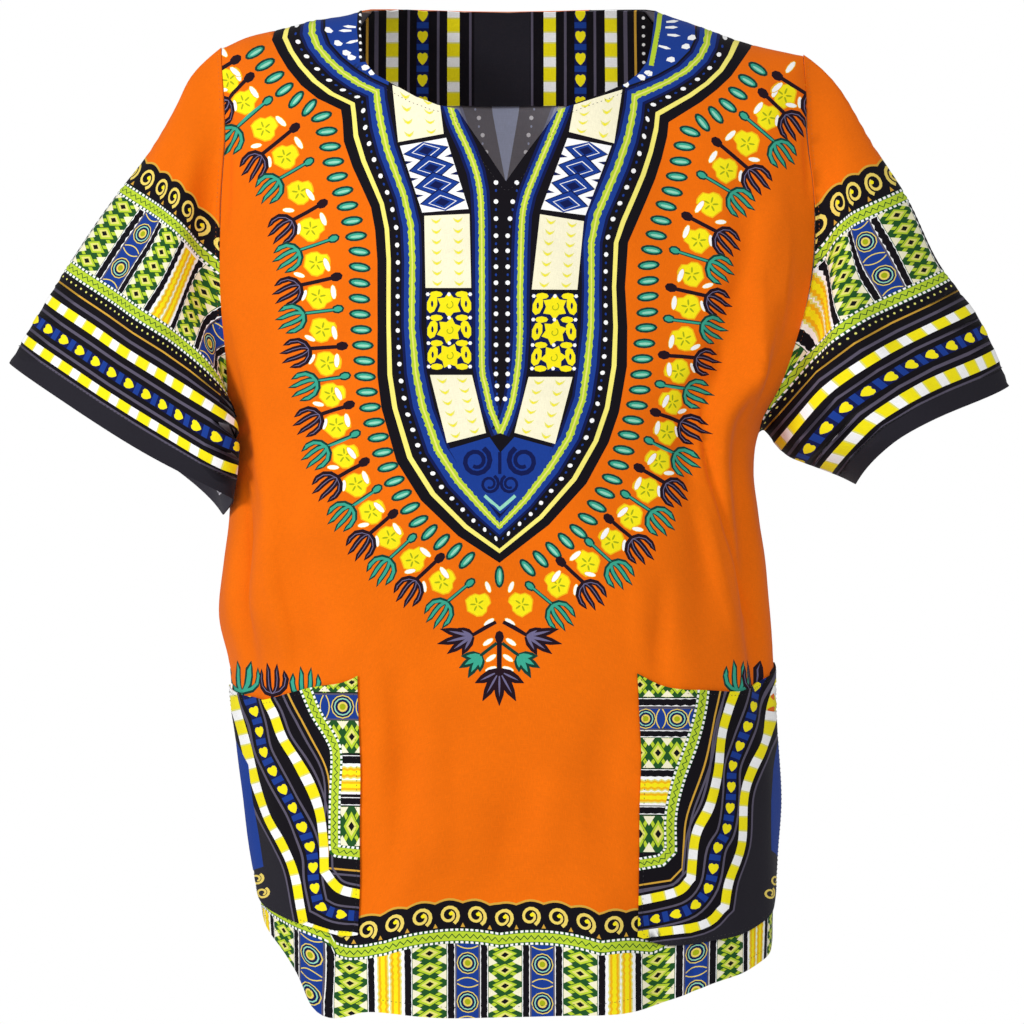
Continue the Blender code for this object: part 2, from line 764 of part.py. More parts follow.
def build_shirt():
    clear_scene()
    collection = bpy.data.collections.new("dashiki_shirt")
    bpy.context.scene.collection.children.link(collection)
    pockets = [pocket_outline(POCKETS["pocket_left"], "left"), pocket_outline(POCKETS["pocket_right"], "right")]
    front, pocket_left, pocket_right = body_pieces("front", ("pocket_left", "pocket_right"), pockets)
    back, facing = body_pieces("back", ("back_neck_facing",), [facing_outline()])
    add_piece(collection, front, ORANGE_CLOTH)
    add_piece(collection, back, ORANGE_CLOTH)
    add_piece(collection, sleeve_piece("sleeve_left", "left"), ORANGE_CLOTH)
    add_piece(collection, sleeve_piece("sleeve_right", "right"), ORANGE_CLOTH)
    add_piece(collection, pocket_left, BORDER_CLOTH)
    add_piece(collection, pocket_right, BORDER_CLOTH)
    add_piece(collection, facing, FACING_CLOTH)


build_shirt()
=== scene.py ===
"""The dashiki shirt as it looks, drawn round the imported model.

Metres, +Z up, front facing -Y. Each cloth piece is cut flat with its print as
shapes of ink, one over another. The cut cloth is then laid on the same form as
the solid that it stands for, as a thin wall with a printed and a wrong side.
The print is drawn in pixels of the photograph's frame, or of its size.
"""

import math

import bpy
import numpy as np
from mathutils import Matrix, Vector
from mathutils.geometry import delaunay_2d_cdt


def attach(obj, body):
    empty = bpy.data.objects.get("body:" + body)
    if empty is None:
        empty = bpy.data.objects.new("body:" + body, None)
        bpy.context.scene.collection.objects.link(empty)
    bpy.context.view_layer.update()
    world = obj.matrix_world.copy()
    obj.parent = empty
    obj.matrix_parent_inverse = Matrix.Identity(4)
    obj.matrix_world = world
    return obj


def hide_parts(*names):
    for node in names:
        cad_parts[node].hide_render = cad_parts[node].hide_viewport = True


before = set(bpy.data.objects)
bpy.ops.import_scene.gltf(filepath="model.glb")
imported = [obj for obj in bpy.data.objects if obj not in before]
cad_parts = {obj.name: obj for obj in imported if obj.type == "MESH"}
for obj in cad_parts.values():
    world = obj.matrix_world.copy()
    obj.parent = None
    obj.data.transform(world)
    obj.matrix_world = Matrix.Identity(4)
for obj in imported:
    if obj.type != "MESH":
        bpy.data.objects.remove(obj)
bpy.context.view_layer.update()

# Cloth
WALL = 0.0016
SEAM_GAP = 0.0003
HALF_GAP = SEAM_GAP / 2
SLEEVE_GAP = 0.00045

# Mesh spacing along the cloth, in metres or in radians round the ring
BODY_STEP = 0.007
SHOULDER_STEP = 0.04
HEM_POINTS = 109
SLEEVE_RINGS = 61
ARMHOLE_STEPS = 60
RING_CROWDING = 1.25

# Body form
RIDGE_DROP = 0.070
RIDGE_ARC = RIDGE_DROP * math.pi / 2
LEFT_TIP_Z = -0.030
RIGHT_TIP_Z = -0.0375
RING_POWER = 2.5
METRES_PER_RADIAN = 0.172
TIP_ANGLE = 80.0

# Height of the shoulder ridge: x, z
RIDGE = (
    (-0.260, -0.0340),
    (-0.216, -0.0290),
    (-0.198, -0.0212),
    (-0.170, -0.0142),
    (-0.147, -0.0080),
    (-0.107, 0.0005),
    (-0.080, 0.0200),
    (-0.040, 0.0380),
    (0.007, 0.0450),
    (0.054, 0.0380),
    (0.094, 0.0200),
    (0.1217, 0.0005),
    (0.1576, -0.0125),
    (0.1888, -0.0240),
    (0.227, -0.0330),
    (0.270, -0.0400),
)

# Side of the ring on -X: z, x
LEFT_SIDE = (
    (0.100, -0.2185),
    (-0.030, -0.2185),
    (-0.080, -0.2240),
    (-0.260, -0.2240),
    (-0.310, -0.2150),
    (-0.335, -0.2110),
    (-0.370, -0.2090),
    (-0.400, -0.2100),
    (-0.430, -0.2140),
    (-0.470, -0.2170),
    (-0.510, -0.2085),
    (-0.550, -0.2050),
    (-0.585, -0.1998),
    (-0.620, -0.1938),
    (-0.660, -0.1890),
    (-0.700, -0.1838),
    (-0.790, -0.1800),
)

# Side of the ring on +X: z, x
RIGHT_SIDE = (
    (0.100, 0.2395),
    (-0.0375, 0.2395),
    (-0.080, 0.2470),
    (-0.240, 0.2470),
    (-0.300, 0.2240),
    (-0.338, 0.2010),
    (-0.370, 0.1970),
    (-0.400, 0.2010),
    (-0.430, 0.2050),
    (-0.470, 0.2068),
    (-0.510, 0.2095),
    (-0.550, 0.2128),
    (-0.585, 0.2152),
    (-0.620, 0.2165),
    (-0.660, 0.2142),
    (-0.700, 0.2130),
    (-0.790, 0.2110),
)

# Half depth of the ring: drop below the ridge, front, back
DEPTH = (
    (0.000, 0.058, 0.054),
    (0.045, 0.062, 0.064),
    (0.090, 0.068, 0.080),
    (0.135, 0.079, 0.094),
    (0.190, 0.095, 0.104),
    (0.250, 0.106, 0.108),
    (0.350, 0.113, 0.106),
    (0.500, 0.113, 0.100),
    (0.650, 0.113, 0.104),
    (0.820, 0.118, 0.112),
)

# Long soft folds of the body. Ridges are positive and troughs negative:
# angle in degrees at the middle, z of the top, z of the bottom,
# half width in degrees, height, drift in degrees per metre going down
BODY_FOLDS = (
    (54.0, -0.130, -0.420, 4.5, 0.0105, 22.0),
    (43.0, -0.110, -0.490, 5.0, -0.0080, 14.0),
    (66.0, -0.300, -0.580, 6.0, -0.0080, 12.0),
    (34.0, -0.420, -0.640, 6.0, 0.0040, 10.0),
    (-50.0, -0.280, -0.520, 6.0, 0.0050, -16.0),
    (-62.0, -0.330, -0.600, 5.0, -0.0055, -10.0),
    (-40.0, -0.400, -0.700, 7.0, -0.0040, 6.0),
    (-20.0, -0.540, -0.830, 7.0, 0.0050, 4.0),
    (-4.0, -0.600, -0.840, 7.0, -0.0035, -6.0),
    (14.0, -0.580, -0.840, 7.0, 0.0045, 8.0),
    (28.0, -0.640, -0.840, 6.0, -0.0040, 6.0),
    (-46.0, -0.690, -0.860, 5.0, 0.0060, 0.0),
    (84.0, -0.400, -0.560, 9.0, 0.0030, 0.0),
    (-84.0, -0.560, -0.740, 9.0, 0.0030, 0.0),
    (116.0, -0.180, -0.560, 7.0, -0.0065, -20.0),
    (129.0, -0.130, -0.480, 6.0, 0.0070, -16.0),
    (146.0, -0.380, -0.820, 8.0, 0.0060, -8.0),
    (162.0, -0.300, -0.830, 8.0, -0.0050, 6.0),
    (179.0, -0.420, -0.840, 8.0, 0.0055, 3.0),
    (196.0, -0.340, -0.820, 8.0, -0.0055, -4.0),
    (213.0, -0.280, -0.800, 8.0, 0.0065, 8.0),
    (230.0, -0.150, -0.520, 6.0, 0.0065, 16.0),
    (243.0, -0.200, -0.600, 6.0, -0.0065, 18.0),
)

# Armholes: how far each reaches in from the side seam, in degrees
ARMHOLE_REACH = {"left_front": 23.0, "left_back": 22.0, "right_front": 21.0, "right_back": 22.0}
UNDERARM_DROP = {"left": 0.305, "right": 0.301}

# Shares of an armhole's length that its rounded top and foot take
ARMHOLE_TOP_SHARE = 0.36
ARMHOLE_FOOT_SHARE = 0.24

# Hem of the front and the back: angle in degrees from the middle, z
FRONT_HEM = (
    (-90.0, -0.697),
    (-75.0, -0.708),
    (-56.0, -0.736),
    (-43.0, -0.768),
    (-30.0, -0.763),
    (-10.0, -0.766),
    (5.0, -0.764),
    (22.0, -0.761),
    (30.0, -0.755),
    (41.0, -0.746),
    (57.0, -0.738),
    (72.0, -0.730),
    (90.0, -0.720),
)
BACK_HEM = (
    (-90.0, -0.697),
    (-60.0, -0.738),
    (-34.0, -0.762),
    (0.0, -0.768),
    (34.0, -0.763),
    (60.0, -0.746),
    (90.0, -0.720),
)

# Front neckline from -X to +X, with the slit down to its middle: x, z
NECK_LEFT = (-0.107, 0.0005)
NECK_RIGHT = (0.1217, 0.0005)
FRONT_NECK = (
    (-0.1062, -0.0190),
    (-0.1045, -0.0365),
    (-0.1010, -0.0480),
    (-0.0940, -0.0570),
    (-0.0813, -0.0645),
    (-0.0629, -0.0755),
    (-0.0460, -0.0825),
    (-0.0310, -0.0860),
    (-0.0120, -0.1150),
    (0.0055, -0.1424),
    (0.0245, -0.1150),
    (0.0438, -0.0872),
    (0.0590, -0.0808),
    (0.0766, -0.0740),
    (0.0965, -0.0650),
    (0.1067, -0.0562),
    (0.1130, -0.0470),
    (0.1165, -0.0330),
    (0.1190, -0.0160),
)

# Back neckline from -X to +X: x, z
BACK_NECK = (
    (-0.1000, 0.0034),
    (-0.0860, 0.0062),
    (-0.0600, 0.0080),
    (-0.0280, 0.0088),
    (0.0070, 0.0090),
    (0.0420, 0.0088),
    (0.0740, 0.0080),
    (0.1000, 0.0062),
    (0.1145, 0.0034),
)

# Patch pockets: x of the front edge and of the bend in the top edge, z of the
# top at the front edge, at the bend and at the side, z of the foot at each end
POCKETS = {
    "pocket_left": {
        "inner_x": -0.1045, "mid_x": -0.1460, "top_inner_z": -0.5120, "top_mid_z": -0.5240,
        "top_outer_z": -0.5290, "foot_inner_z": -0.7060, "foot_outer_z": -0.6930,
    },
    "pocket_right": {
        "inner_x": 0.1030, "mid_x": 0.1440, "top_inner_z": -0.5100, "top_mid_z": -0.5120,
        "top_outer_z": -0.5150, "foot_inner_z": -0.7060, "foot_outer_z": -0.6910,
    },
}
POCKET_SIDE_ANGLE = 88.0

# Facing inside the back of the neck
FACING_FOOT_Z = -0.0620
FACING_SIDE_ZS = (-0.0180, -0.0400)
FACING_FOOT_STEPS = 10

# Sleeves, from the armhole (0) to the cuff (1): place along the sleeve,
# x and z of the top edge, x and z of the underarm, half depth in front,
# half depth behind, share of the depth that has sagged towards the underarm,
# y of the underarm
SLEEVES = {
    "left": (
        (0.00, -0.2160, -0.0300, -0.2130, -0.3350, 0.048, 0.046, 0.10, 0.000),
        (0.10, -0.2360, -0.0510, -0.2200, -0.3360, 0.055, 0.050, 0.12, -0.003),
        (0.19, -0.2490, -0.0730, -0.2230, -0.3390, 0.059, 0.053, 0.15, -0.008),
        (0.36, -0.2770, -0.1170, -0.2240, -0.3450, 0.062, 0.055, 0.20, -0.016),
        (0.49, -0.3000, -0.1470, -0.2220, -0.3530, 0.062, 0.055, 0.22, -0.024),
        (0.72, -0.3385, -0.2036, -0.2180, -0.3710, 0.058, 0.053, 0.22, -0.030),
        (1.00, -0.3810, -0.2740, -0.2150, -0.3920, 0.052, 0.049, 0.20, -0.030),
    ),
    "right": (
        (0.00, 0.2370, -0.0375, 0.2010, -0.3385, 0.048, 0.046, 0.10, 0.000),
        (0.12, 0.2620, -0.0630, 0.2085, -0.3400, 0.056, 0.052, 0.18, 0.000),
        (0.29, 0.2925, -0.1070, 0.2200, -0.3440, 0.062, 0.056, 0.28, -0.002),
        (0.44, 0.3160, -0.1430, 0.2310, -0.3480, 0.064, 0.058, 0.36, -0.004),
        (0.63, 0.3410, -0.1950, 0.2470, -0.3540, 0.064, 0.058, 0.42, -0.006),
        (0.82, 0.3740, -0.2400, 0.2640, -0.3610, 0.061, 0.058, 0.45, -0.006),
        (1.00, 0.3970, -0.2917, 0.2777, -0.3680, 0.057, 0.056, 0.48, -0.006),
    ),
}
SLEEVE_ROUNDING = 0.80
SLEEVE_SETTLE = 0.42

# Sleeve cloth runs straight on from the body for a little before it turns
LEAVE = 0.0050
LEAVE_AT = 0.08

# How far the hem of each cuff arches up between its top and the underarm
CUFF_ARCH = {"left": 0.011, "right": 0.026}

# Place along the sleeve where its folds have their full height
FOLD_FROM = 0.12

# Where a sleeve hangs in front of the body's side: how far it laps over,
# the middle and half width of the lap round the sleeve, and where it is full
BODY_LAP = {"left": 0.021, "right": 0.0}
LAP_AT = 0.40
LAP_WIDTH = 0.07
LAP_FROM = 0.35

# Sleeve folds: place round the sleeve (0 top, 0.25 front, 0.5 underarm, 0.75 back),
# place along it at the middle, half width round, half length along, height
SLEEVE_FOLDS = {
    "left": (
        (0.385, 0.60, 0.055, 0.45, 0.0140),
        (0.30, 0.45, 0.040, 0.35, -0.0050),
        (0.22, 0.50, 0.035, 0.35, 0.0040),
        (0.15, 0.45, 0.040, 0.35, -0.0035),
        (0.72, 0.40, 0.050, 0.35, 0.0060),
        (0.81, 0.45, 0.040, 0.35, -0.0045),
    ),
    "right": (
        (0.20, 0.40, 0.040, 0.35, -0.0050),
        (0.27, 0.45, 0.035, 0.40, 0.0055),
        (0.34, 0.50, 0.030, 0.35, -0.0040),
        (0.70, 0.40, 0.050, 0.35, 0.0060),
        (0.79, 0.45, 0.040, 0.35, -0.0045),
    ),
}


SLOPE_STEP = 0.0012

# Creases of the cotton over the solid's folds: places down its middle in the
# photograph's frame, half width and height in pixels of cloth
FRONT_CREASES = (
    (((738, 280), (717, 330), (713, 400), (714, 480), (728, 530), (748, 590), (762, 645)), 8.0, -7.5),
    (((764, 205), (757, 280), (752, 340), (744, 430)), 9.0, 6.5),
    (((781, 215), (774, 290), (762, 370)), 8.5, -4.0),
    (((700, 430), (700, 500), (716, 560), (738, 640)), 12.0, 4.5),
    (((666, 570), (661, 630), (657, 680)), 9.0, -3.4),
    (((642, 560), (640, 620), (640, 680)), 10.0, 2.6),
    (((622, 690), (604, 760), (600, 830), (607, 900)), 14.0, -4.6),
    (((536, 760), (520, 820), (504, 880)), 9.0, -3.8),
    (((556, 740), (545, 820), (530, 890)), 12.0, 3.4),
    (((476, 720), (470, 800), (474, 890)), 16.0, 3.2),
    (((396, 670), (403, 740), (404, 800), (396, 890)), 11.0, -5.6),
    (((372, 640), (380, 720), (378, 830)), 9.0, 3.2),
    (((432, 700), (436, 780), (440, 880)), 10.0, 3.4),
    (((300, 560), (318, 620), (326, 690)), 12.0, -4.0),
    (((272, 540), (280, 610), (286, 680)), 10.0, 4.2),
    (((244, 480), (246, 560), (250, 640)), 8.0, -4.4),
    (((232, 300), (248, 380), (262, 470), (282, 550)), 12.0, 3.8),
    (((226, 70), (229, 120), (227, 190), (225, 240)), 8.0, -3.2),
    (((808, 80), (806, 140), (808, 200)), 8.0, -3.2),
    (((240, 130), (262, 220), (270, 300)), 12.0, -3.2),
    (((420, 600), (436, 640), (440, 690)), 12.0, -2.4),
    (((334, 925), (331, 960), (330, 1000)), 9.0, -4.4),
    (((352, 925), (352, 970), (352, 1010)), 8.0, 3.6),
    (((690, 930), (694, 970), (690, 1000)), 8.0, -3.4),
    (((300, 720), (306, 800), (300, 880)), 16.0, 3.0),
    (((712, 720), (706, 800), (712, 880)), 16.0, 3.0),
)
BACK_CREASES = (
    (((286, 270), (306, 340), (312, 440), (300, 540), (282, 640)), 9.0, -6.5),
    (((262, 220), (272, 300), (282, 400)), 9.0, 5.5),
    (((742, 270), (718, 350), (714, 450), (726, 560)), 9.0, -6.0),
    (((764, 230), (750, 320), (742, 420)), 9.0, 5.0),
    (((420, 560), (412, 660), (418, 780), (412, 900)), 14.0, -5.0),
    (((452, 600), (448, 720), (452, 880)), 12.0, 4.2),
    (((600, 540), (612, 660), (606, 780), (614, 900)), 14.0, -5.0),
    (((568, 620), (574, 740), (570, 890)), 12.0, 4.0),
    (((506, 640), (510, 760), (504, 900)), 10.0, -3.6),
    (((340, 620), (332, 740), (338, 880)), 12.0, 4.4),
    (((684, 620), (690, 740), (684, 880)), 12.0, 4.4),
    (((360, 140), (352, 200), (348, 270)), 10.0, 2.6),
    (((664, 140), (674, 200), (678, 270)), 10.0, 2.6),
)


def smooth_curve(rows, column, at):
    """Read one column of a table as a smooth curve over its first column."""
    rows = sorted(rows)
    xs = np.array([row[0] for row in rows])
    ys = np.array([row[column] for row in rows])
    slopes = np.gradient(ys, xs)
    at = np.clip(np.asarray(at, dtype=float), xs[0], xs[-1])
    right = np.clip(np.searchsorted(xs, at), 1, len(xs) - 1)
    left = right - 1
    width = xs[right] - xs[left]
    part = (at - xs[left]) / width
    square = part * part
    cube = square * part
    return (
        (2 * cube - 3 * square + 1) * ys[left]
        + (cube - 2 * square + part) * width * slopes[left]
        + (3 * square - 2 * cube) * ys[right]
        + (cube - square) * width * slopes[right]
    )


def signed_power(value, power):
    return np.sign(value) * np.abs(value) ** power


def unit(vectors):
    return vectors / np.linalg.norm(vectors, axis=-1, keepdims=True)


def ring_sides(drop):
    left = smooth_curve(LEFT_SIDE, 1, LEFT_TIP_Z - drop)
    right = smooth_curve(RIGHT_SIDE, 1, RIGHT_TIP_Z - drop)
    return (left + right) / 2, (right - left) / 2


def drop_of_cloth(down):
    """Height lost below the ridge after a length of cloth, with the lean there."""
    down = np.asarray(down, dtype=float)
    turn = np.clip(down / RIDGE_ARC, 0, 1) * math.pi / 2
    drop = RIDGE_DROP * (1 - np.cos(turn)) + np.maximum(down - RIDGE_ARC, 0)
    return drop, np.sin(turn)


def cloth_of_drop(drop):
    drop = np.asarray(drop, dtype=float)
    turn = np.arccos(np.clip(1 - drop / RIDGE_DROP, 0, 1))
    return np.where(drop < RIDGE_DROP, RIDGE_ARC * turn / (math.pi / 2), RIDGE_ARC + drop - RIDGE_DROP)


def plain_body(angle, down):
    """The body with no folds, at angles in radians."""
    drop, lean = drop_of_cloth(down)
    middle, half = ring_sides(drop)
    x = middle + half * signed_power(np.sin(angle), 2 / RING_POWER)
    front = np.cos(angle) > 0
    depth = np.where(front, smooth_curve(DEPTH, 1, drop), smooth_curve(DEPTH, 2, drop))
    y = -depth * lean * signed_power(np.cos(angle), 2 / RING_POWER)
    z = smooth_curve(RIDGE, 1, x) - drop
    return np.stack([x, y, z], axis=-1)


def slope_normals(surface, first, second):
    """Outward normals of a surface of two values, from points a short step away."""
    along = surface(first + SLOPE_STEP, second) - surface(first - SLOPE_STEP, second)
    down = surface(first, second + SLOPE_STEP) - surface(first, np.maximum(second - SLOPE_STEP, 0))
    return unit(np.cross(down, along))


def fold_height(angle, z):
    degrees = np.degrees(angle)
    total = np.zeros_like(z)
    for middle, top, bottom, width, height, drift in BODY_FOLDS:
        centre = (top + bottom) / 2
        reach = (top - bottom) / 2
        window = np.clip(1 - ((z - centre) / reach) ** 2, 0, 1) ** 1.5
        away = degrees - middle - drift * (centre - z)
        away = (away + 180) % 360 - 180
        total += height * window * np.exp(-((away / width) ** 2))
    return total


def body_surface(angle, down):
    angle = np.asarray(angle, dtype=float)
    down = np.asarray(down, dtype=float)
    plain = plain_body(angle, down)
    normals = slope_normals(plain_body, angle, down)
    return plain + normals * fold_height(angle, plain[..., 2])[..., None]


def body_normals(angle, down):
    return slope_normals(body_surface, np.asarray(angle, float), np.asarray(down, float))


def place_on_body(x, z, back=False):
    """Angle and length of cloth for a point given by x and z."""
    x = np.asarray(x, dtype=float)
    drop = np.maximum(smooth_curve(RIDGE, 1, x) - z, 0)
    middle, half = ring_sides(drop)
    share = np.clip((x - middle) / half, -1, 1)
    angle = np.arcsin(signed_power(share, RING_POWER / 2))
    if back:
        angle = math.pi - angle
    return angle, cloth_of_drop(drop)


def armhole_line(side, face):
    """Places on the body along half an armhole, from the shoulder tip to the underarm."""
    part = (1 - np.cos(np.linspace(0, math.pi, ARMHOLE_STEPS + 1))) / 2
    down = float(cloth_of_drop(UNDERARM_DROP[side])) * part
    top = np.clip(part / ARMHOLE_TOP_SHARE, 0, 1)
    top = top * top * (3 - 2 * top)
    foot = np.clip((1 - part) / ARMHOLE_FOOT_SHARE, 0, 1)
    foot = np.sqrt(1 - (1 - foot) ** 2)
    reach = ARMHOLE_REACH[side + "_" + face] * top * foot
    in_from_seam = reach + (90 - TIP_ANGLE) * (1 - top)
    angle = np.radians(90 - in_from_seam)
    drop, _ = drop_of_cloth(down)
    depth = smooth_curve(DEPTH, 1 if face == "front" else 2, drop)
    seam_angle = math.pi / 2 - (HALF_GAP / depth) ** (RING_POWER / 2)
    angle = np.minimum(angle, seam_angle)
    down = np.maximum(down, shoulder_gap(angle))
    if face == "back":
        angle = math.pi - angle
    if side == "left":
        angle = -angle
    return angle, down


def shoulder_gap(angle):
    """Length of cloth below the ridge that leaves half the seam's gap."""
    depth = DEPTH[0][1]
    across = np.abs(np.cos(angle)) ** (2 / RING_POWER)
    return HALF_GAP * RIDGE_ARC / (math.pi / 2) / (depth * across)


def seam_angle_at(down, face, side):
    drop, _ = drop_of_cloth(down)
    depth = smooth_curve(DEPTH, 1 if face == "front" else 2, drop)
    angle = math.pi / 2 - (HALF_GAP / depth) ** (RING_POWER / 2)
    if face == "back":
        angle = math.pi - angle
    return -angle if side == "left" else angle


def hem_place(table, degrees, face):
    """Place on the body of a hem point, found from its angle and height."""
    angle = math.radians(degrees)
    z = smooth_curve(table, 1, degrees)
    if face == "back":
        angle = math.pi - angle
    drop = -z
    for _ in range(12):
        x = plain_body(angle, cloth_of_drop(drop))[0]
        drop = smooth_curve(RIDGE, 1, x) - z
    return angle, float(cloth_of_drop(drop))


def spaced(start, stop, step):
    count = max(int(round(abs(stop - start) / step)), 1)
    return np.linspace(start, stop, count + 1)


def body_outline(face):
    """Closed outline of the front or back, as angle and length of cloth."""
    table = FRONT_HEM if face == "front" else BACK_HEM
    places = []
    hem = [hem_place(table, d, face) for d in np.linspace(-90, 90, HEM_POINTS)]
    left_foot = hem[0][1]
    right_foot = hem[-1][1]
    places += hem[1:-1]

    side_down = spaced(right_foot, float(cloth_of_drop(UNDERARM_DROP["right"])), BODY_STEP)
    places += [(float(seam_angle_at(d, face, "right")), float(d)) for d in side_down[:-1]]
    angles, downs = armhole_line("right", face)
    places += list(zip(angles[::-1].tolist(), downs[::-1].tolist()))

    neck_right, _ = place_on_body(*NECK_RIGHT, back=face == "back")
    neck_left, _ = place_on_body(*NECK_LEFT, back=face == "back")
    shoulder = spaced(float(angles[0]), float(neck_right), SHOULDER_STEP)[1:]
    places += [(float(a), float(shoulder_gap(a))) for a in shoulder]

    rows = FRONT_NECK if face == "front" else BACK_NECK
    for x, z in rows[::-1]:
        angle, down = place_on_body(x, z, back=face == "back")
        places.append((float(angle), float(down)))

    angles, downs = armhole_line("left", face)
    if face == "back":
        angles = angles + 2 * math.pi
    shoulder = spaced(float(neck_left), float(angles[0]), SHOULDER_STEP)[:-1]
    places += [(float(a), float(shoulder_gap(a))) for a in shoulder]
    places += list(zip(angles.tolist(), downs.tolist()))

    side_down = spaced(float(cloth_of_drop(UNDERARM_DROP["left"])), left_foot, BODY_STEP)[1:]
    turn = 2 * math.pi if face == "back" else 0.0
    places += [(float(seam_angle_at(d, face, "left")) + turn, float(d)) for d in side_down]
    return places


def signed_area(line):
    beyond = np.roll(line, -1, axis=0)
    return (line[:, 0] * beyond[:, 1] - beyond[:, 0] * line[:, 1]).sum() / 2


def pocket_outline(row, side):
    """Outline of a patch pocket, from its front edge to the side seam."""
    sign = -1 if side == "left" else 1
    side_angle = sign * math.radians(POCKET_SIDE_ANGLE)

    def at_x(x, z):
        angle, down = place_on_body(x, z)
        return float(angle), float(down)

    def at_side(z):
        tip = LEFT_TIP_Z if side == "left" else RIGHT_TIP_Z
        return side_angle, float(cloth_of_drop(tip - z))

    top_inner = at_x(row["inner_x"], row["top_inner_z"])
    top_outer = at_side(row["top_outer_z"])
    foot_inner = at_x(row["inner_x"], row["foot_inner_z"])
    foot_outer = at_side(row["foot_outer_z"])
    top_mid = ((top_inner[0] + top_outer[0]) / 2, at_x(row["mid_x"], row["top_mid_z"])[1])
    corners = [top_inner, top_mid, top_outer, foot_outer, foot_inner]
    outline = []
    for start, end in zip(corners, corners[1:] + corners[:1]):
        run = math.hypot((end[0] - start[0]) * METRES_PER_RADIAN, end[1] - start[1])
        pieces = max(int(round(run / BODY_STEP)), 1)
        for i in range(pieces):
            part = i / pieces
            outline.append((start[0] + (end[0] - start[0]) * part, start[1] + (end[1] - start[1]) * part))
    return outline


def armhole_ring(side):
    """Points, outward directions and normals round the whole armhole."""
    front = armhole_line(side, "front")
    back = armhole_line(side, "back")
    angle = np.concatenate([front[0], back[0][::-1][1:-1]])
    down = np.concatenate([front[1], back[1][::-1][1:-1]])
    points = body_surface(angle, down)
    normals = body_normals(angle, down)
    run = unit(np.roll(points, -1, axis=0) - np.roll(points, 1, axis=0))
    out = unit(np.cross(normals, run))
    if side == "left":
        out = -out
    return points + out * SLEEVE_GAP, out, normals


def sleeve_station(side, place, turn):
    """A plain sleeve ring: turn 0 at the top, a half turn at the underarm."""
    rows = SLEEVES[side]
    top_x, top_z, foot_x, foot_z, front, behind, sag, middle = (
        smooth_curve(rows, column, place) for column in range(1, 9)
    )
    along = (1 - np.cos(turn)) / 2
    depth = np.where(np.sin(turn) >= 0, front, behind) * (1 - sag * np.cos(turn))
    y = -depth * signed_power(np.sin(turn), SLEEVE_ROUNDING) + middle * np.sin(turn / 2) ** 2
    x = top_x + (foot_x - top_x) * along
    z = top_z + (foot_z - top_z) * along + CUFF_ARCH[side] * place ** 3 * np.abs(np.sin(turn)) * along
    lap = np.exp(-(((turn / (2 * math.pi) - LAP_AT) / LAP_WIDTH) ** 2))
    x = x + BODY_LAP[side] * lap * np.clip(place / LAP_FROM, 0, 1)
    return np.stack([x, y, z], axis=-1)


def sleeve_folds(side, turn, place):
    total = np.zeros(np.broadcast(turn, place).shape)
    for round_at, along_at, width, length, height in SLEEVE_FOLDS[side]:
        away = (turn / (2 * math.pi) - round_at + 0.5) % 1 - 0.5
        along = (place - along_at) / length
        total = total + height * np.exp(-((away / width) ** 2)) * np.exp(-(along ** 2))
    return total


def grid_normals(grid, side):
    ahead = np.roll(grid, -1, axis=1) - np.roll(grid, 1, axis=1)
    down = np.gradient(grid, axis=0)
    normals = unit(np.cross(ahead, down))
    return -normals if side == "left" else normals


def sleeve_points(side):
    """Grid of points and normals from the armhole ring to the cuff."""
    ring, out, ring_normals = armhole_ring(side)
    count = len(ring)
    turn = np.arange(count) / count * 2 * math.pi
    places = np.linspace(0, 1, SLEEVE_RINGS) ** RING_CROWDING
    start = sleeve_station(side, 0.0, turn)
    rows = []
    for place in places:
        settled = np.clip(place / SLEEVE_SETTLE, 0, 1)
        hold = 1 - settled * settled * (3 - 2 * settled)
        row = sleeve_station(side, place, turn) + (ring - start) * hold
        row += out * LEAVE * place / LEAVE_AT * math.exp(1 - place / LEAVE_AT)
        rows.append(row)
    rows[0] = ring
    grid = np.array(rows)
    normals = grid_normals(grid, side)
    lift = np.array([sleeve_folds(side, turn, place) for place in places])
    fade = np.clip(places / FOLD_FROM, 0, 1)[:, None]
    grid = grid + normals * (lift * fade)[..., None]
    normals = grid_normals(grid, side)
    normals[0] = ring_normals
    return grid, normals


# Camera: level, at the middle of the photograph's frame
CAMERA_DISTANCE = 2.4
FRAME_MIDDLE = (0.0101, -0.39)
FRAME_PIXELS = 1024
PIXEL = 0.00078
CLOTH_PIXEL = PIXEL * 0.955
BACK_PRINT_RISE = 0.020
SENSOR = 36.0

# Cut of the visible cloth
GRID_STEP = 0.0062
POINT_CELL = 0.0030
EDGE_CELL = 0.0014
CUT_MERGE = 5e-5
CREASE_STEP = 0.008
CREASE_ROWS = (-1.7, -0.85, 0.0, 0.85, 1.7)
CREASE_CELL = 0.0026
ROUNDING = 5
LINE_STEP = 7.0
UNCUT = 1e9
BOX_STEP = 9
VISIBLE_WALL = 0.0011
INLAY_LIFT = 0.0009

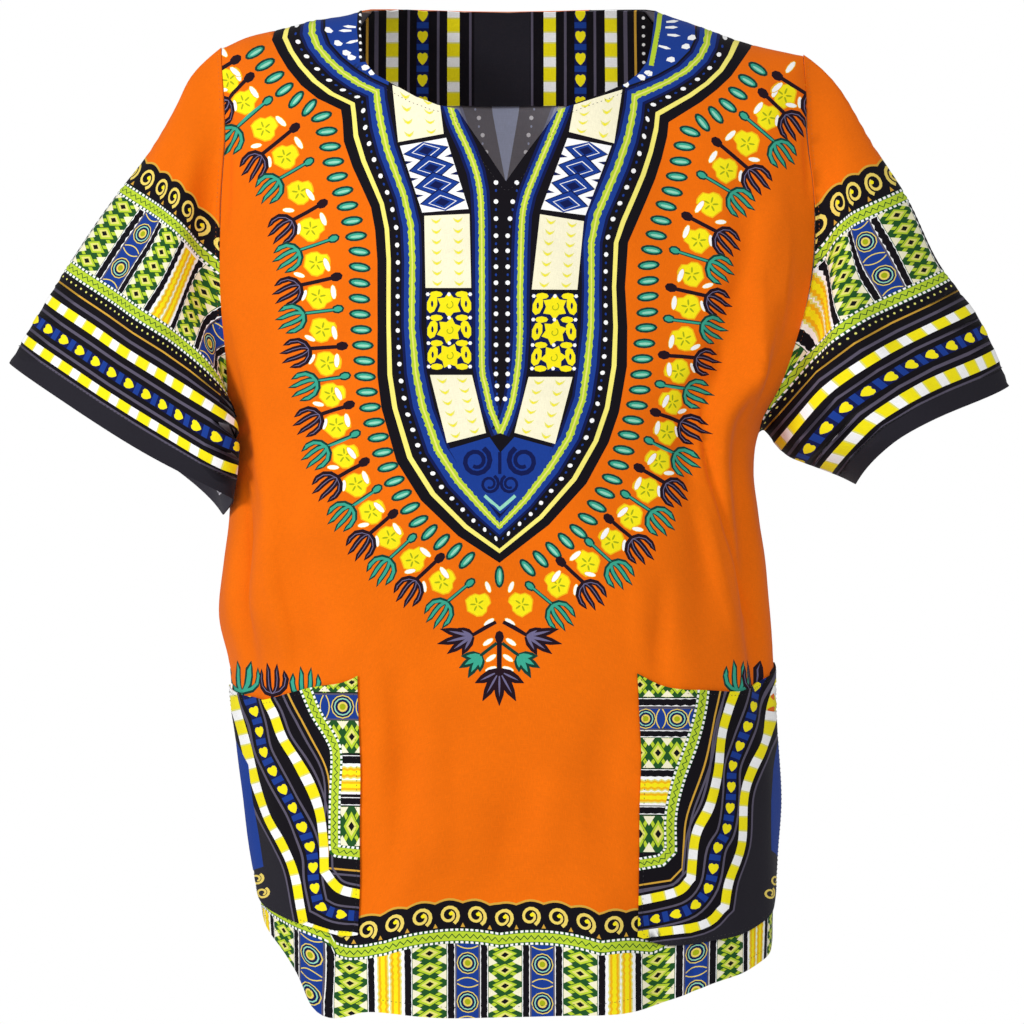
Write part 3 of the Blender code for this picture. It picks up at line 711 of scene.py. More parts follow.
# Inks of the print, as they look on the printed side
INKS = {
    "orange": (240, 110, 0),
    "black": (14, 10, 18),
    "navy": (10, 22, 78),
    "blue": (24, 60, 146),
    "yellow": (252, 236, 22),
    "pale": (250, 238, 120),
    "cream": (250, 244, 212),
    "white": (255, 255, 255),
    "lime": (188, 214, 52),
    "green": (34, 84, 36),
    "teal": (58, 168, 142),
    "forest": (14, 62, 52),
    "grey": (92, 86, 104),
    "charcoal": (36, 34, 42),
    "gold": (216, 166, 60),
    "plum": (34, 14, 26),
    "lilac": (112, 106, 142),
    "olive": (168, 178, 20),
    "straw": (240, 214, 104),
    "mint": (150, 216, 190),
    "butter": (232, 228, 120),
    "amber": (246, 186, 20),
}
WRONG_SIDE = (236, 232, 240)
WRONG_SHARE = 0.74
DARK_WRONG_SHARES = {"charcoal": 0.1, "black": 0.5, "navy": 0.6, "plum": 0.5}


def rounded(rows):
    """A line through a table's points, curved except where it turns sharply."""
    points = np.array(rows)
    runs = np.diff(points, axis=0)
    turns = np.degrees(np.arctan2(runs[:, 1], runs[:, 0]))
    bends = np.abs((np.diff(turns) + 180) % 360 - 180)
    corners = [0] + [i + 1 for i, bend in enumerate(bends) if bend > 34] + [len(points) - 1]
    line = []
    for start, stop in zip(corners[:-1], corners[1:]):
        piece = points[start:stop + 1]
        if len(piece) < 3:
            line += piece[:-1].tolist()
            continue
        part = np.arange(len(piece))
        fine = np.linspace(0, len(piece) - 1, 5 * len(piece) - 4)
        xs = smooth_curve(list(zip(part, piece[:, 0])), 1, fine)
        zs = smooth_curve(list(zip(part, piece[:, 1])), 1, fine)
        line += list(zip(xs.tolist(), zs.tolist()))[:-1]
    return line + [tuple(points[-1])]


def finer(line, step=LINE_STEP):
    """A closed line with points added on its long edges."""
    line = np.asarray(line, dtype=float)
    beyond = np.roll(line, -1, axis=0)
    out = []
    for start, stop in zip(line, beyond):
        count = max(int(math.ceil(np.linalg.norm(stop - start) / step)), 1)
        for i in range(count):
            out.append(start + (stop - start) * i / count)
    return np.array(out)


class Cloth:
    """A flat piece of cloth with shapes of ink on it, later ones over earlier ones."""

    def __init__(self, outline, ground):
        self.lines = [np.array(outline, dtype=float)]
        self.inks = [ground]
        self.low = self.lines[0].min(axis=0)
        self.high = self.lines[0].max(axis=0)
        self.frame = None

    def ink(self, name, line, step=LINE_STEP):
        line = finer(line, step)
        if self.frame is not None:
            line = self.frame(line)
        if (line.max(axis=0) < self.low).any() or (line.min(axis=0) > self.high).any():
            return
        line = np.round(line, ROUNDING)
        keep = (line != np.roll(line, 1, axis=0)).any(axis=1)
        line = line[keep]
        if len(line) < 3 or abs(signed_area(line)) < 1e-8:
            return
        self.lines.append(line)
        self.inks.append(name)

    def cut(self, grid):
        """Places of the points, triangles, and the ink of each triangle."""
        lines = [line if signed_area(line) > 0 else line[::-1] for line in self.lines]
        points = np.concatenate(lines)
        taken = set(map(tuple, np.floor(points / POINT_CELL).astype(int).tolist()))
        cells = np.floor(grid / POINT_CELL).astype(int).tolist()
        free = grid[[tuple(cell) not in taken for cell in cells]]
        crossed = cells_on(lines, EDGE_CELL)
        cells = np.floor(free / EDGE_CELL).astype(int).tolist()
        free = free[[tuple(cell) not in crossed for cell in cells]]
        edges = []
        count = len(lines[0])
        for line in lines[1:]:
            edges += [(count + i, count + (i + 1) % len(line)) for i in range(len(line))]
            count += len(line)
        everything = [Vector(p) for p in np.concatenate([points, free]).tolist()]
        rim = [list(range(len(lines[0])))]
        result = delaunay_2d_cdt(everything, edges, rim, 1, CUT_MERGE)
        faces = np.array([face for face, under in zip(result[2], result[5]) if under])
        cut = np.array([list(p) for p in result[0]])
        centres = cut[faces].mean(axis=1)
        top = np.zeros(len(faces), dtype=int)
        for index, line in enumerate(lines):
            low, high = line.min(axis=0), line.max(axis=0)
            near = np.nonzero(((centres > low) & (centres < high)).all(axis=1))[0]
            if index and len(near):
                top[near[inside(centres[near], line)]] = index
        used, numbered = np.unique(faces, return_inverse=True)
        return cut[used], numbered.reshape(-1, 3), [self.inks[i] for i in top]


def cells_on(lines, cell):
    """The square cells that closed lines pass through."""
    crossed = set()
    for line in lines:
        for start, stop in zip(line, np.roll(line, -1, axis=0)):
            count = int(np.linalg.norm(stop - start) / (cell / 2)) + 1
            part = np.linspace(0, 1, count + 1)[:, None]
            places = start + (stop - start) * part
            crossed.update(map(tuple, np.floor(places / cell).astype(int).tolist()))
    return crossed


def inside(points, line):
    """Which points lie within a closed line, by the edges crossed to their right."""
    crossed = np.zeros(len(points), dtype=bool)
    x, y = points[:, 0], points[:, 1]
    for (x0, y0), (x1, y1) in zip(line.tolist(), np.roll(line, -1, axis=0).tolist()):
        if y0 == y1:
            continue
        spans = (y0 > y) != (y1 > y)
        crossed ^= spans & (x < x0 + (y - y0) * (x1 - x0) / (y1 - y0))
    return crossed


def mitred(points):
    """Directions across a line to its right, as y counts down, full at corners too."""
    runs = unit(np.diff(points, axis=0))
    sides = np.stack([-runs[:, 1], runs[:, 0]], axis=-1)
    before = np.concatenate([sides[:1], sides])
    after = np.concatenate([sides, sides[-1:]])
    middle = unit(before + after)
    return middle / np.maximum((middle * after).sum(axis=1, keepdims=True), 0.4)


class Path:
    """A line to draw along, with offsets to its side."""

    def __init__(self, points, across=None):
        self.points = np.array(points, dtype=float)
        runs = np.linalg.norm(np.diff(self.points, axis=0), axis=1)
        self.run = np.concatenate([[0.0], np.cumsum(runs)])
        self.length = float(self.run[-1])
        self.across = mitred(self.points) if across is None else np.array(across, dtype=float)

    def at(self, along, offset):
        along = np.asarray(along, dtype=float)
        base = np.stack([np.interp(along, self.run, self.points[:, i]) for i in (0, 1)], axis=-1)
        side = np.stack([np.interp(along, self.run, self.across[:, i]) for i in (0, 1)], axis=-1)
        return base + side * np.asarray(offset, dtype=float)[..., None]

    def steps(self, start, stop, step):
        inner = [r for r in self.run if start < r < stop]
        count = max(int((stop - start) / step), 1)
        return np.array(sorted(set(inner + np.linspace(start, stop, count + 1).tolist())))


def oval(along, across, count=10, lean=0.0):
    turns = np.arange(count) / count * 2 * math.pi
    points = np.stack([along * np.cos(turns), across * np.sin(turns)], axis=-1)
    return turned(points, lean)


def turned(points, degrees):
    c, s = math.cos(math.radians(degrees)), math.sin(math.radians(degrees))
    points = np.asarray(points, dtype=float)
    return np.stack([points[:, 0] * c - points[:, 1] * s, points[:, 0] * s + points[:, 1] * c], axis=-1)


def toward(points, centre, direction):
    """Points given along and across a direction, put at a centre."""
    along = unit(np.asarray(direction, dtype=float))
    across = np.array([-along[1], along[0]])
    return np.asarray(centre) + points[:, :1] * along + points[:, 1:] * across


def ribbon(line, widths):
    """A closed outline of a stroke along an open line."""
    line = np.asarray(line, dtype=float)
    sides = mitred(line) * (np.ones(len(line)) * widths / 2)[:, None]
    return np.concatenate([line + sides, (line - sides)[::-1]])


def on_path(path, along, offset, shape):
    return path.at(along + shape[:, 0], offset + shape[:, 1])


def band(cloth, name, path, low, high, start=0.0, stop=None, step=LINE_STEP):
    stop = path.length if stop is None else stop
    along = path.steps(start, stop, step)
    line = np.concatenate([path.at(along, np.full(len(along), low)),
                           path.at(along[::-1], np.full(len(along), high))])
    cloth.ink(name, line, UNCUT)


def two_tone(cloth, path, low, high, pitch=25.0):
    """The yellow stripe with white blocks."""
    band(cloth, "yellow", path, low, high)
    for along in np.arange(0.0, path.length - 1, pitch):
        band(cloth, "butter", path, low, high, along, min(along + pitch * 0.50, path.length))
        band(cloth, "white", path, low, high, along + pitch * 0.06, min(along + pitch * 0.44, path.length))


def jagged(cloth, name, path, low, high, rough, step=2.6):
    """A band with a stippled edge on both sides."""
    along = path.steps(0.0, path.length, step)
    index = np.arange(len(along))
    near = low + rough * np.sin(index * 2.39) * np.cos(index * 0.71)
    far = high + rough * np.sin(index * 1.93 + 1.0) * np.cos(index * 0.47)
    cloth.ink(name, np.concatenate([path.at(along, near), path.at(along, far)[::-1]]), UNCUT)


def beads(cloth, name, path, offset, pitch, half_along, half_across, start=0.0, stop=None, count=8):
    stop = path.length if stop is None else stop
    shape = oval(half_along, half_across, count)
    for along in np.arange(start, stop, pitch):
        cloth.ink(name, on_path(path, along, offset, shape), UNCUT)


def zigzag(cloth, path, low, high, start=0.0, stop=None):
    """The lime band with a green zigzag and white teeth along both edges."""
    stop = path.length if stop is None else stop
    middle, half = (low + high) / 2, (high - low) / 2
    band(cloth, "green", path, low, high, start, stop)
    band(cloth, "lime", path, middle - half * 0.60, middle + half * 0.60, start, stop)
    tooth = np.array([(-1.5, -1.1), (1.5, -1.1), (1.5, 1.1), (-1.5, 1.1)])
    for along in np.arange(start + 2, stop - 2, 5.0):
        for edge, sign in ((low, 1), (high, -1)):
            cloth.ink("white", on_path(path, along, edge + sign * 1.3, tooth), UNCUT)
    along = np.arange(start, stop, 3.6)
    if len(along) < 2:
        return
    swing = middle + np.where(np.arange(len(along)) % 2, 1, -1) * half * 0.26
    line = np.concatenate([path.at(along, swing + half * 0.09), path.at(along, swing - half * 0.09)[::-1]])
    cloth.ink("green", line, UNCUT)


def hearts(cloth, path, low, high, pitch=22.0, start=0.0, stop=None):
    """The blue stripe with a row of rounded yellow seeds."""
    stop = path.length if stop is None else stop
    half = (high - low) / 2
    band(cloth, "navy", path, low, high, start, stop)
    seed = np.array([(-0.62, -0.40), (-0.48, -0.80), (-0.1, -0.92), (0.35, -0.70), (0.72, -0.25), (0.84, 0.0),
                     (0.72, 0.25), (0.35, 0.70), (-0.1, 0.92), (-0.48, 0.80), (-0.62, 0.40), (-0.48, 0.0)])
    for along in np.arange(start + pitch / 2, stop - 3, pitch):
        first = max(along + pitch * 0.36, start)
        last = min(along + pitch * 0.64, stop)
        band(cloth, "blue", path, low, high, first, last)
        cloth.ink("yellow", on_path(path, along, low + half, seed * (half * 1.42, half * 0.96)), UNCUT)


def scroll_line(size, turns=1.35):
    """A plain spiral, from its outer end inwards."""
    part = np.linspace(0, 1, 20)
    angle = math.radians(-60) + part * turns * 2 * math.pi
    radius = size * (1 - 0.62 * part)
    return np.stack([radius * np.cos(angle), radius * np.sin(angle)], axis=-1)


def curls(cloth, path, low, high, pitch=27.0, start=0.0, stop=None, flip=1):
    """The black band with a scalloped top and a row of cream spiral scrolls."""
    stop = path.length if stop is None else stop
    far = high if flip > 0 else low
    near = low if flip > 0 else high
    depth = abs(high - low)
    for name, extra in (("gold", 2.2), ("black", 0.0)):
        along = np.arange(start, stop + 0.1, pitch / 6)
        scallop = depth * 0.13 * np.abs(np.sin((along - start) / pitch * math.pi))
        top = far + flip * (scallop + extra)
        line = np.concatenate([path.at(along, np.full(len(along), near)), path.at(along, top)[::-1]])
        cloth.ink(name, line, UNCUT)
    size = min(depth * 0.39, pitch * 0.42)
    spiral = scroll_line(size)
    for along in np.arange(start + pitch / 2, stop - pitch * 0.3, pitch):
        centre = (low + high) / 2 + flip * depth * 0.04
        stroke = ribbon(spiral * (1, flip), np.linspace(3.4, 2.4, len(spiral)))
        cloth.ink("straw", on_path(path, along, centre, stroke), UNCUT)
        eye = oval(2.4, 2.0, 6)
        cloth.ink("yellow", on_path(path, along + size * 0.2, centre + flip * size * 0.15, eye), UNCUT)
        cloth.ink("gold", on_path(path, along + pitch / 2, near + flip * 3.5,
                                  np.array([(-2.2, -2.0), (2.2, -2.0), (0.0, 2.4)]) * (1, flip)), UNCUT)


def box(cloth, name, path, start, stop, low, high):
    corners = np.array([(start, low), (stop, low), (stop, high), (start, high)])
    cloth.ink(name, on_path(path, 0.0, 0.0, corners), BOX_STEP)


def lattice(cloth, path, start, stop, low, high):
    """A column of lime diamonds with black eyes between white triangles."""
    width = stop - start
    middle = (start + stop) / 2
    cells = max(int(round((high - low) / 17.0)), 1)
    cell = (high - low) / cells
    box(cloth, "green", path, start, stop, low, high)
    strand = width * 0.47
    for i in range(cells):
        edge = low + i * cell
        for sign in (-1, 1):
            line = [(middle - sign * strand, edge), (middle + sign * strand, edge + cell)]
            cloth.ink("lime", on_path(path, 0.0, 0.0, ribbon(line, 3.4)), UNCUT)
    for i in range(cells + 1):
        edge = low + i * cell
        up = 0.0 if i == 0 else 0.33 * cell
        dn = 0.0 if i == cells else 0.33 * cell
        for side, sign in ((start + 0.6, 1), (stop - 0.6, -1)):
            tooth = np.array([(side, edge - up), (side, edge + dn), (side + sign * width * 0.26, edge)])
            cloth.ink("cream", on_path(path, 0.0, 0.0, tooth), UNCUT)
    for i in range(cells):
        centre = low + (i + 0.5) * cell
        for name, across, along in (("green", 0.42, 0.48), ("lime", 0.37, 0.42), ("butter", 0.25, 0.29),
                                    ("black", 0.12, 0.17)):
            shape = np.array([(-1, 0), (0, -1), (1, 0), (0, 1)]) * (across * width, along * cell)
            cloth.ink(name, on_path(path, middle, centre, shape), UNCUT)


def circles(cloth, path, start, stop, low, high):
    """A blue column with rings and crescents."""
    width = stop - start
    middle = (start + stop) / 2
    cells = max(int(round((high - low) / 33.0)), 1)
    cell = (high - low) / cells
    box(cloth, "grey", path, start, stop, low, high)
    box(cloth, "blue", path, start + 1.6, stop - 1.6, low, high)
    for i in range(cells):
        centre = low + (i + 0.5) * cell
        for name, size in (("straw", 0.44), ("navy", 0.40), ("mint", 0.33), ("navy", 0.28), ("straw", 0.19),
                           ("olive", 0.12)):
            cloth.ink(name, on_path(path, middle, centre, oval(size * width, size * width, 12)), UNCUT)
    for i in range(cells + 1):
        edge = low + i * cell
        for sign in (-1, 1):
            if (i == 0 and sign < 0) or (i == cells and sign > 0):
                continue
            along = np.linspace(-0.42, 0.42, 7) * width
            rise = sign * (1.4 + 3.4 * (1 - (along / (0.42 * width)) ** 2))
            crescent = ribbon(np.stack([along, rise], axis=-1), 1.1)
            cloth.ink("straw", on_path(path, middle, edge, crescent), UNCUT)


def floral(cloth, path, start, stop, low, high):
    """A white column with two wavy yellow stripes."""
    width = stop - start
    box(cloth, "white", path, start, stop, low, high)
    along = np.arange(low, high + 0.1, 3.4)
    for name, reach in (("butter", 0.20), ("amber", 0.15), ("yellow", 0.07)):
        for centre in (0.28, 0.72):
            sway = np.sin(along * 0.9 + centre * 9) * 0.9
            left = np.stack([start + (centre - reach) * width + sway, along], axis=-1)
            right = np.stack([start + (centre + reach) * width - sway, along], axis=-1)
            cloth.ink(name, on_path(path, 0.0, 0.0, np.concatenate([left, right[::-1]])), UNCUT)


def separator(cloth, path, start, stop, low, high):
    """A narrow black column with uneven edges on white."""
    box(cloth, "white", path, start, stop, low, high)
    along = np.arange(low, high + 0.1, 4.0)
    sway = np.sin(along * 0.8) * 0.9
    left = np.stack([np.full(len(along), start + 0.8) + sway * 0.6, along], axis=-1)
    right = np.stack([np.full(len(along), stop - 0.8) + sway, along], axis=-1)
    cloth.ink("black", on_path(path, 0.0, 0.0, np.concatenate([left, right[::-1]])), UNCUT)


COLUMNS = (
    (lattice, 34.0),
    (separator, 8.0),
    (circles, 25.0),
    (separator, 8.0),
    (lattice, 34.0),
    (separator, 8.0),
    (floral, 29.0),
    (separator, 8.0),
)


def columns(cloth, path, middle, reach, low, high):
    """Printed columns on both sides of a lattice column at the middle."""
    lattice(cloth, path, middle - COLUMNS[0][1] / 2, middle + COLUMNS[0][1] / 2, low, high)
    for sign in (-1, 1):
        edge = COLUMNS[0][1] / 2
        index = 1
        while edge < reach:
            draw, width = COLUMNS[index % len(COLUMNS)]
            ends = sorted((middle + sign * edge, middle + sign * (edge + width)))
            draw(cloth, path, ends[0], ends[1], low, high)
            edge += width
            index += 1


def seen_on_body(line, back=False):
    """Places on the flat plane of points drawn where the photograph shows them."""
    across, below = line[:, 0], line[:, 1]
    y = np.full(len(line), 0.09 if back else -0.1)
    for _ in range(5):
        scale = PIXEL * (CAMERA_DISTANCE + y) / CAMERA_DISTANCE
        x = FRAME_MIDDLE[0] + (across - 512) * scale
        z = FRAME_MIDDLE[1] - (below - 512) * scale
        angle, down = place_on_body(x, z, back)
        y = plain_body(angle, down)[:, 1]
    return np.stack([angle * METRES_PER_RADIAN, down], axis=-1)


def seen_inside_back(line):
    return seen_on_body(line, back=True)


def drawn_on_back(line):
    """The same drawing carried to the back panel, a little higher."""
    x = FRAME_MIDDLE[0] + (line[:, 0] - 512) * CLOTH_PIXEL
    z = FRAME_MIDDLE[1] + (512 - line[:, 1]) * CLOTH_PIXEL + BACK_PRINT_RISE
    angle, down = place_on_body(x, z, back=True)
    return np.stack([angle * METRES_PER_RADIAN, down], axis=-1)


def crease_lines():
    made = []
    for table, place in ((FRONT_CREASES, seen_on_body), (BACK_CREASES, drawn_on_back)):
        for line, width, height in table:
            flat = place(np.array(line, dtype=float))
            made.append((flat, width * CLOTH_PIXEL, height * CLOTH_PIXEL))
    return made


def crease_height(places, line, width, height):
    """Height of one crease at places on the flat plane, faded towards its ends."""
    runs = np.diff(line, axis=0)
    lengths = np.linalg.norm(runs, axis=1)
    before = np.concatenate([[0.0], np.cumsum(lengths)])
    nearest = np.full(len(places), UNCUT)
    along = np.zeros(len(places))
    for start, run, length, passed in zip(line, runs, lengths, before):
        part = np.clip(((places - start) @ run) / length ** 2, 0, 1)
        gap = np.linalg.norm(places - start - part[:, None] * run, axis=1)
        closer = gap < nearest
        nearest = np.where(closer, gap, nearest)
        along = np.where(closer, passed + part * length, along)
    share = along / before[-1]
    fade = np.clip(4 * share * (1 - share), 0, 1) ** 0.8
    return height * fade * np.exp(-((nearest / width) ** 2))


def fine_height(angle, down):
    """Creases and small rumples of the cotton, over the folds that the solid has."""
    places = np.stack([angle * METRES_PER_RADIAN, down], axis=-1)
    total = np.zeros(len(places))
    for line, width, height in CREASES:
        low, high = line.min(axis=0) - 2.6 * width, line.max(axis=0) + 2.6 * width
        near = np.nonzero(((places > low) & (places < high)).all(axis=1))[0]
        if len(near):
            total[near] += crease_height(places[near], line, width, height)
    rumple = 0.0006 * np.sin(angle * 9.1 + down * 13.0) * np.sin(down * 31.0 + angle * 3.7)
    rumple += 0.0005 * np.sin(angle * 17.3 - down * 21.0 + 1.1)
    return total + rumple * np.clip(down / 0.12, 0, 1)


def cloth_surface(angle, down):
    angle = np.asarray(angle, dtype=float)
    down = np.asarray(down, dtype=float)
    plain = body_surface(angle, down)
    normals = slope_normals(plain_body, angle, down)
    return plain + normals * fine_height(angle, down)[..., None]


def lay_on_body(places, lift=0.0):
    """Points and normals on the body of places on its flat plane."""
    angle, down = places[:, 0] / METRES_PER_RADIAN, places[:, 1]
    points = cloth_surface(angle, down)
    normals = slope_normals(cloth_surface, angle, down)
    return points + normals * lift, normals


class SleeveForm:
    """A sleeve's form, with its flat plane measured from the cuff and the top fold."""

    def __init__(self, side):
        self.grid, self.normals = sleeve_points(side)
        rings, count = self.grid.shape[:2]
        half = count // 2
        order = np.arange(-half, half + 1) % count
        self.grid = self.grid[:, order]
        self.normals = self.normals[:, order]
        runs = np.linalg.norm(np.diff(self.grid, axis=0), axis=2)
        self.up = np.concatenate([np.cumsum(runs[::-1], axis=0)[::-1], np.zeros((1, 2 * half + 1))])
        ring = self.grid[int(rings * 0.86)]
        steps = np.diff(ring, axis=0) * (1.0, SLEEVE_DEPTH_SHARE, 1.0)
        around = np.concatenate([[0.0], np.cumsum(np.linalg.norm(steps, axis=1))])
        self.around = around - around[half]

    def outline(self):
        sides = self.around
        top = np.stack([sides, self.up[0]], axis=-1)
        left = np.linspace(self.up[0, 0], 0, 36)[1:-1]
        right = np.linspace(0, self.up[0, -1], 36)[1:-1]
        foot = np.stack([np.linspace(sides[0], sides[-1], 120), np.zeros(120)], axis=-1)
        return np.concatenate([
            foot,
            np.stack([np.full(34, sides[-1]), right], axis=-1),
            top[::-1],
            np.stack([np.full(34, sides[0]), left], axis=-1),
        ])

    def lay(self, places):
        around, up = places[:, 0], places[:, 1]
        column = np.interp(around, self.around, np.arange(len(self.around)))
        first = np.clip(column.astype(int), 0, len(self.around) - 2)
        part = (column - first)[:, None]
        heights = self.up[:, first].T * (1 - part) + self.up[:, first + 1].T * part
        ring = np.clip((heights > up[:, None]).sum(axis=1), 1, heights.shape[1] - 1)
        rows = np.arange(len(places))
        above, below = heights[rows, ring - 1], heights[rows, ring]
        share = np.clip((above - up) / np.maximum(above - below, 1e-9), 0, 1)[:, None]

        def read(grid):
            upper = grid[ring - 1, first] * (1 - part) + grid[ring - 1, first + 1] * part
            lower = grid[ring, first] * (1 - part) + grid[ring, first + 1] * part
            return upper * (1 - share) + lower * share

        points, normals = read(self.grid), unit(read(self.normals))
        wave = 0.0007 * np.sin(around * 41 + up * 23) + 0.0006 * np.sin(around * 19 - up * 37 + 0.8)
        return points + normals * (wave * np.clip(up / 0.02, 0, 1))[:, None], normals


CREASES = crease_lines()


def linear(rgb, share=0.0, other=(0, 0, 0)):
    mixed = [(a * (1 - share) + b * share) / 255 for a, b in zip(rgb, other)]
    return [c / 12.92 if c <= 0.04045 else ((c + 0.055) / 1.055) ** 2.4 for c in mixed]


def cloth_mesh(name, places, faces, inks, points, normals, materials, inward=False):
    """A printed wall: the right side outward, or inward for a facing."""
    faces = faces.copy()
    a, b, c = (points[faces[:, i]] for i in range(3))
    facing = (np.cross(b - a, c - a) * normals[faces[:, 0]]).sum(axis=1)
    turn = facing < 0
    faces[turn] = faces[turn][:, ::-1]
    count = len(points)
    half = VISIBLE_WALL / 2
    edges = {}
    for index, (i, j, k) in enumerate(faces.tolist()):
        edges[(i, j)] = edges[(j, k)] = edges[(k, i)] = index
    rim = [(edge, index) for edge, index in edges.items() if (edge[1], edge[0]) not in edges]
    rim_faces = []
    rim_inks = []
    for (start, stop), index in rim:
        rim_faces += [(start + count, stop, start), (start + count, stop + count, stop)]
        rim_inks += [index, index]
    solid = np.concatenate([faces, faces[:, ::-1] + count, np.array(rim_faces)])
    mesh = bpy.data.meshes.new(name)
    both = np.concatenate([points + normals * half, points - normals * half])
    mesh.from_pydata(both.tolist(), [], solid.tolist())
    for material in materials:
        mesh.materials.append(material)
    right, wrong = (1, 0) if inward else (0, 1)
    sides = np.concatenate([np.full(len(faces), right), np.full(len(faces), wrong), np.zeros(len(rim_faces))])
    mesh.polygons.foreach_set("material_index", sides.astype(np.int32))
    colours = np.array([linear(INKS[ink]) for ink in inks])
    pale = np.array([linear(INKS[ink], DARK_WRONG_SHARES.get(ink, WRONG_SHARE), WRONG_SIDE) for ink in inks])
    outer, inner = (pale, colours) if inward else (colours, pale)
    by_face = np.concatenate([outer, inner, colours[rim_inks]])
    by_face = np.concatenate([by_face, np.ones((len(by_face), 1))], axis=1)
    ink = mesh.attributes.new("ink", "FLOAT_COLOR", "CORNER")
    ink.data.foreach_set("color", np.repeat(by_face, 3, axis=0).astype(np.float32).ravel())
    flat = mesh.attributes.new("flat", "FLOAT_VECTOR", "POINT")
    spread = np.concatenate([places, np.zeros((count, 1))], axis=1)
    flat.data.foreach_set("vector", np.concatenate([spread, spread]).astype(np.float32).ravel())
    mesh.shade_smooth()
    corner = both[solid]
    rim_normals = unit(np.cross(corner[:, 1] - corner[:, 0], corner[:, 2] - corner[:, 0]) + 1e-12)
    loops = np.concatenate([normals[faces], -normals[faces[:, ::-1]],
                            np.repeat(rim_normals[2 * len(faces):, None], 3, axis=1)])
    mesh.normals_split_custom_set(loops.reshape(-1, 3).tolist())
    piece = bpy.data.objects.new(name, mesh)
    bpy.context.scene.collection.objects.link(piece)
    return piece


def flat_grid(low, high):
    rows = np.arange(low[1] + GRID_STEP / 2, high[1], GRID_STEP * 0.9)
    points = []
    for i, down in enumerate(rows):
        across = np.arange(low[0] + (GRID_STEP / 2 if i % 2 else 0), high[0], GRID_STEP)
        points.append(np.stack([across, np.full(len(across), down)], axis=-1))
    return np.concatenate(points)


def body_grid(turn=0.0):
    """A grid that is even on the cloth, not by angle, with rows of its own along the creases."""
    fine = np.linspace(-math.pi / 2, math.pi / 2, 1201) + turn
    line = plain_body(fine, np.full(len(fine), 0.55))
    run = np.concatenate([[0.0], np.cumsum(np.linalg.norm(np.diff(line, axis=0), axis=1))])
    rows = np.arange(0.002, 0.93, GRID_STEP * 0.9)
    points = []
    for i, down in enumerate(rows):
        along = np.arange(GRID_STEP * (0.5 if i % 2 else 0.25), run[-1], GRID_STEP)
        angle = np.interp(along, run, fine)
        points.append(np.stack([angle * METRES_PER_RADIAN, np.full(len(along), down)], axis=-1))
    grid = np.concatenate(points)
    ridges = []
    for line, width, _ in CREASES:
        path = Path(line)
        along = np.arange(CREASE_STEP / 2, path.length, CREASE_STEP)
        ridges += [path.at(along, np.full(len(along), width * row)) for row in CREASE_ROWS]
        grid = grid[crease_height(grid, line, width, 1.0) < 0.04]
    return one_per_cell(np.concatenate(ridges + [grid]), CREASE_CELL)


def one_per_cell(points, cell):
    """The points without those that share a square cell with an earlier one."""
    first = np.unique(np.floor(points / cell).astype(int), axis=0, return_index=True)[1]
    return points[np.sort(first)]


def flat_outline(places):
    return np.array([(angle * METRES_PER_RADIAN, down) for angle, down in places])


# The print's own lines, in pixels of the photograph's frame
YOKE_LEFT = (
    ((288, 24), (313, 18)),
    ((285, 38), (312, 33)),
    ((291, 51), (317.5, 46.5)),
    ((301, 66), (329, 60.5)),
    ((315, 81.6), (343, 73)),
    ((331.5, 94), (359.6, 83.7)),
    ((352.6, 104), (376.4, 91.4)),
    ((354, 115), (377.5, 103)),
    ((356, 136), (381, 124)),
    ((364, 161.5), (387, 149)),
    ((373.6, 184), (396, 174)),
    ((382, 204), (404, 196)),
    ((387, 229), (411, 226)),
    ((389, 261), (412.5, 261)),
    ((389, 327), (411.8, 327)),
    ((390, 375), (415.8, 373)),
    ((395, 408), (423, 408)),
    ((410, 457.5), (438, 450)),
    ((433, 494), (458, 481)),
    ((466, 527), (482, 508)),
    ((499.5, 551), (499.5, 526.4)),
)
YOKE_RIGHT = (
    ((741, 24), (712, 8)),
    ((737, 40), (709, 22)),
    ((730, 56), (706.5, 44)),
    ((721, 70), (699.6, 57.5)),
    ((707, 83.5), (685.8, 71.2)),
    ((690, 95.7), (667.5, 82)),
    ((673.6, 105), (650.6, 89.6)),
    ((657.5, 114), (634.5, 96.5)),
    ((656, 129), (632.8, 113)),
    ((650.6, 152), (627.5, 138)),
    ((643, 175), (618, 166)),
    ((633.8, 197), (608, 190)),
    ((623, 222), (597, 215)),
    ((616, 243), (591.4, 243)),
    ((614, 287), (591.4, 287)),
    ((615.5, 327), (591, 327)),
    ((614, 366), (587.4, 366)),
    ((607, 408), (582.4, 399.5)),
    ((595.7, 441), (569, 437.6)),
    ((574, 479), (549, 469)),
    ((541, 517), (524.4, 500.7)),
    ((499.5, 551), (499.5, 526.4)),
)
YOKE_BANDS = (("black", -0.48, 1.5), ("navy", 0.55, 1.42), ("blue", 0.66, 1.32), ("lime", 0.87, 1.13),
              ("pale", -0.09, 0.09))
YOKE_WIDTH = 24.0
INNER_LEFT = (
    (424, 20), (430, 50), (440, 80), (450, 106), (456, 124), (468, 150), (476, 172), (480, 192),
    (481.5, 221), (482, 300), (482, 366), (485.4, 386), (490.4, 408), (495.5, 421), (500.3, 433),
)
INNER_RIGHT = (
    (590, 20), (582, 50), (572, 80), (563, 106), (556, 124), (546, 148), (536, 172), (527, 195),
    (522.5, 215), (521, 246), (520, 300), (520, 333), (518, 366), (512.8, 399), (506.5, 419), (500.3, 433),
)
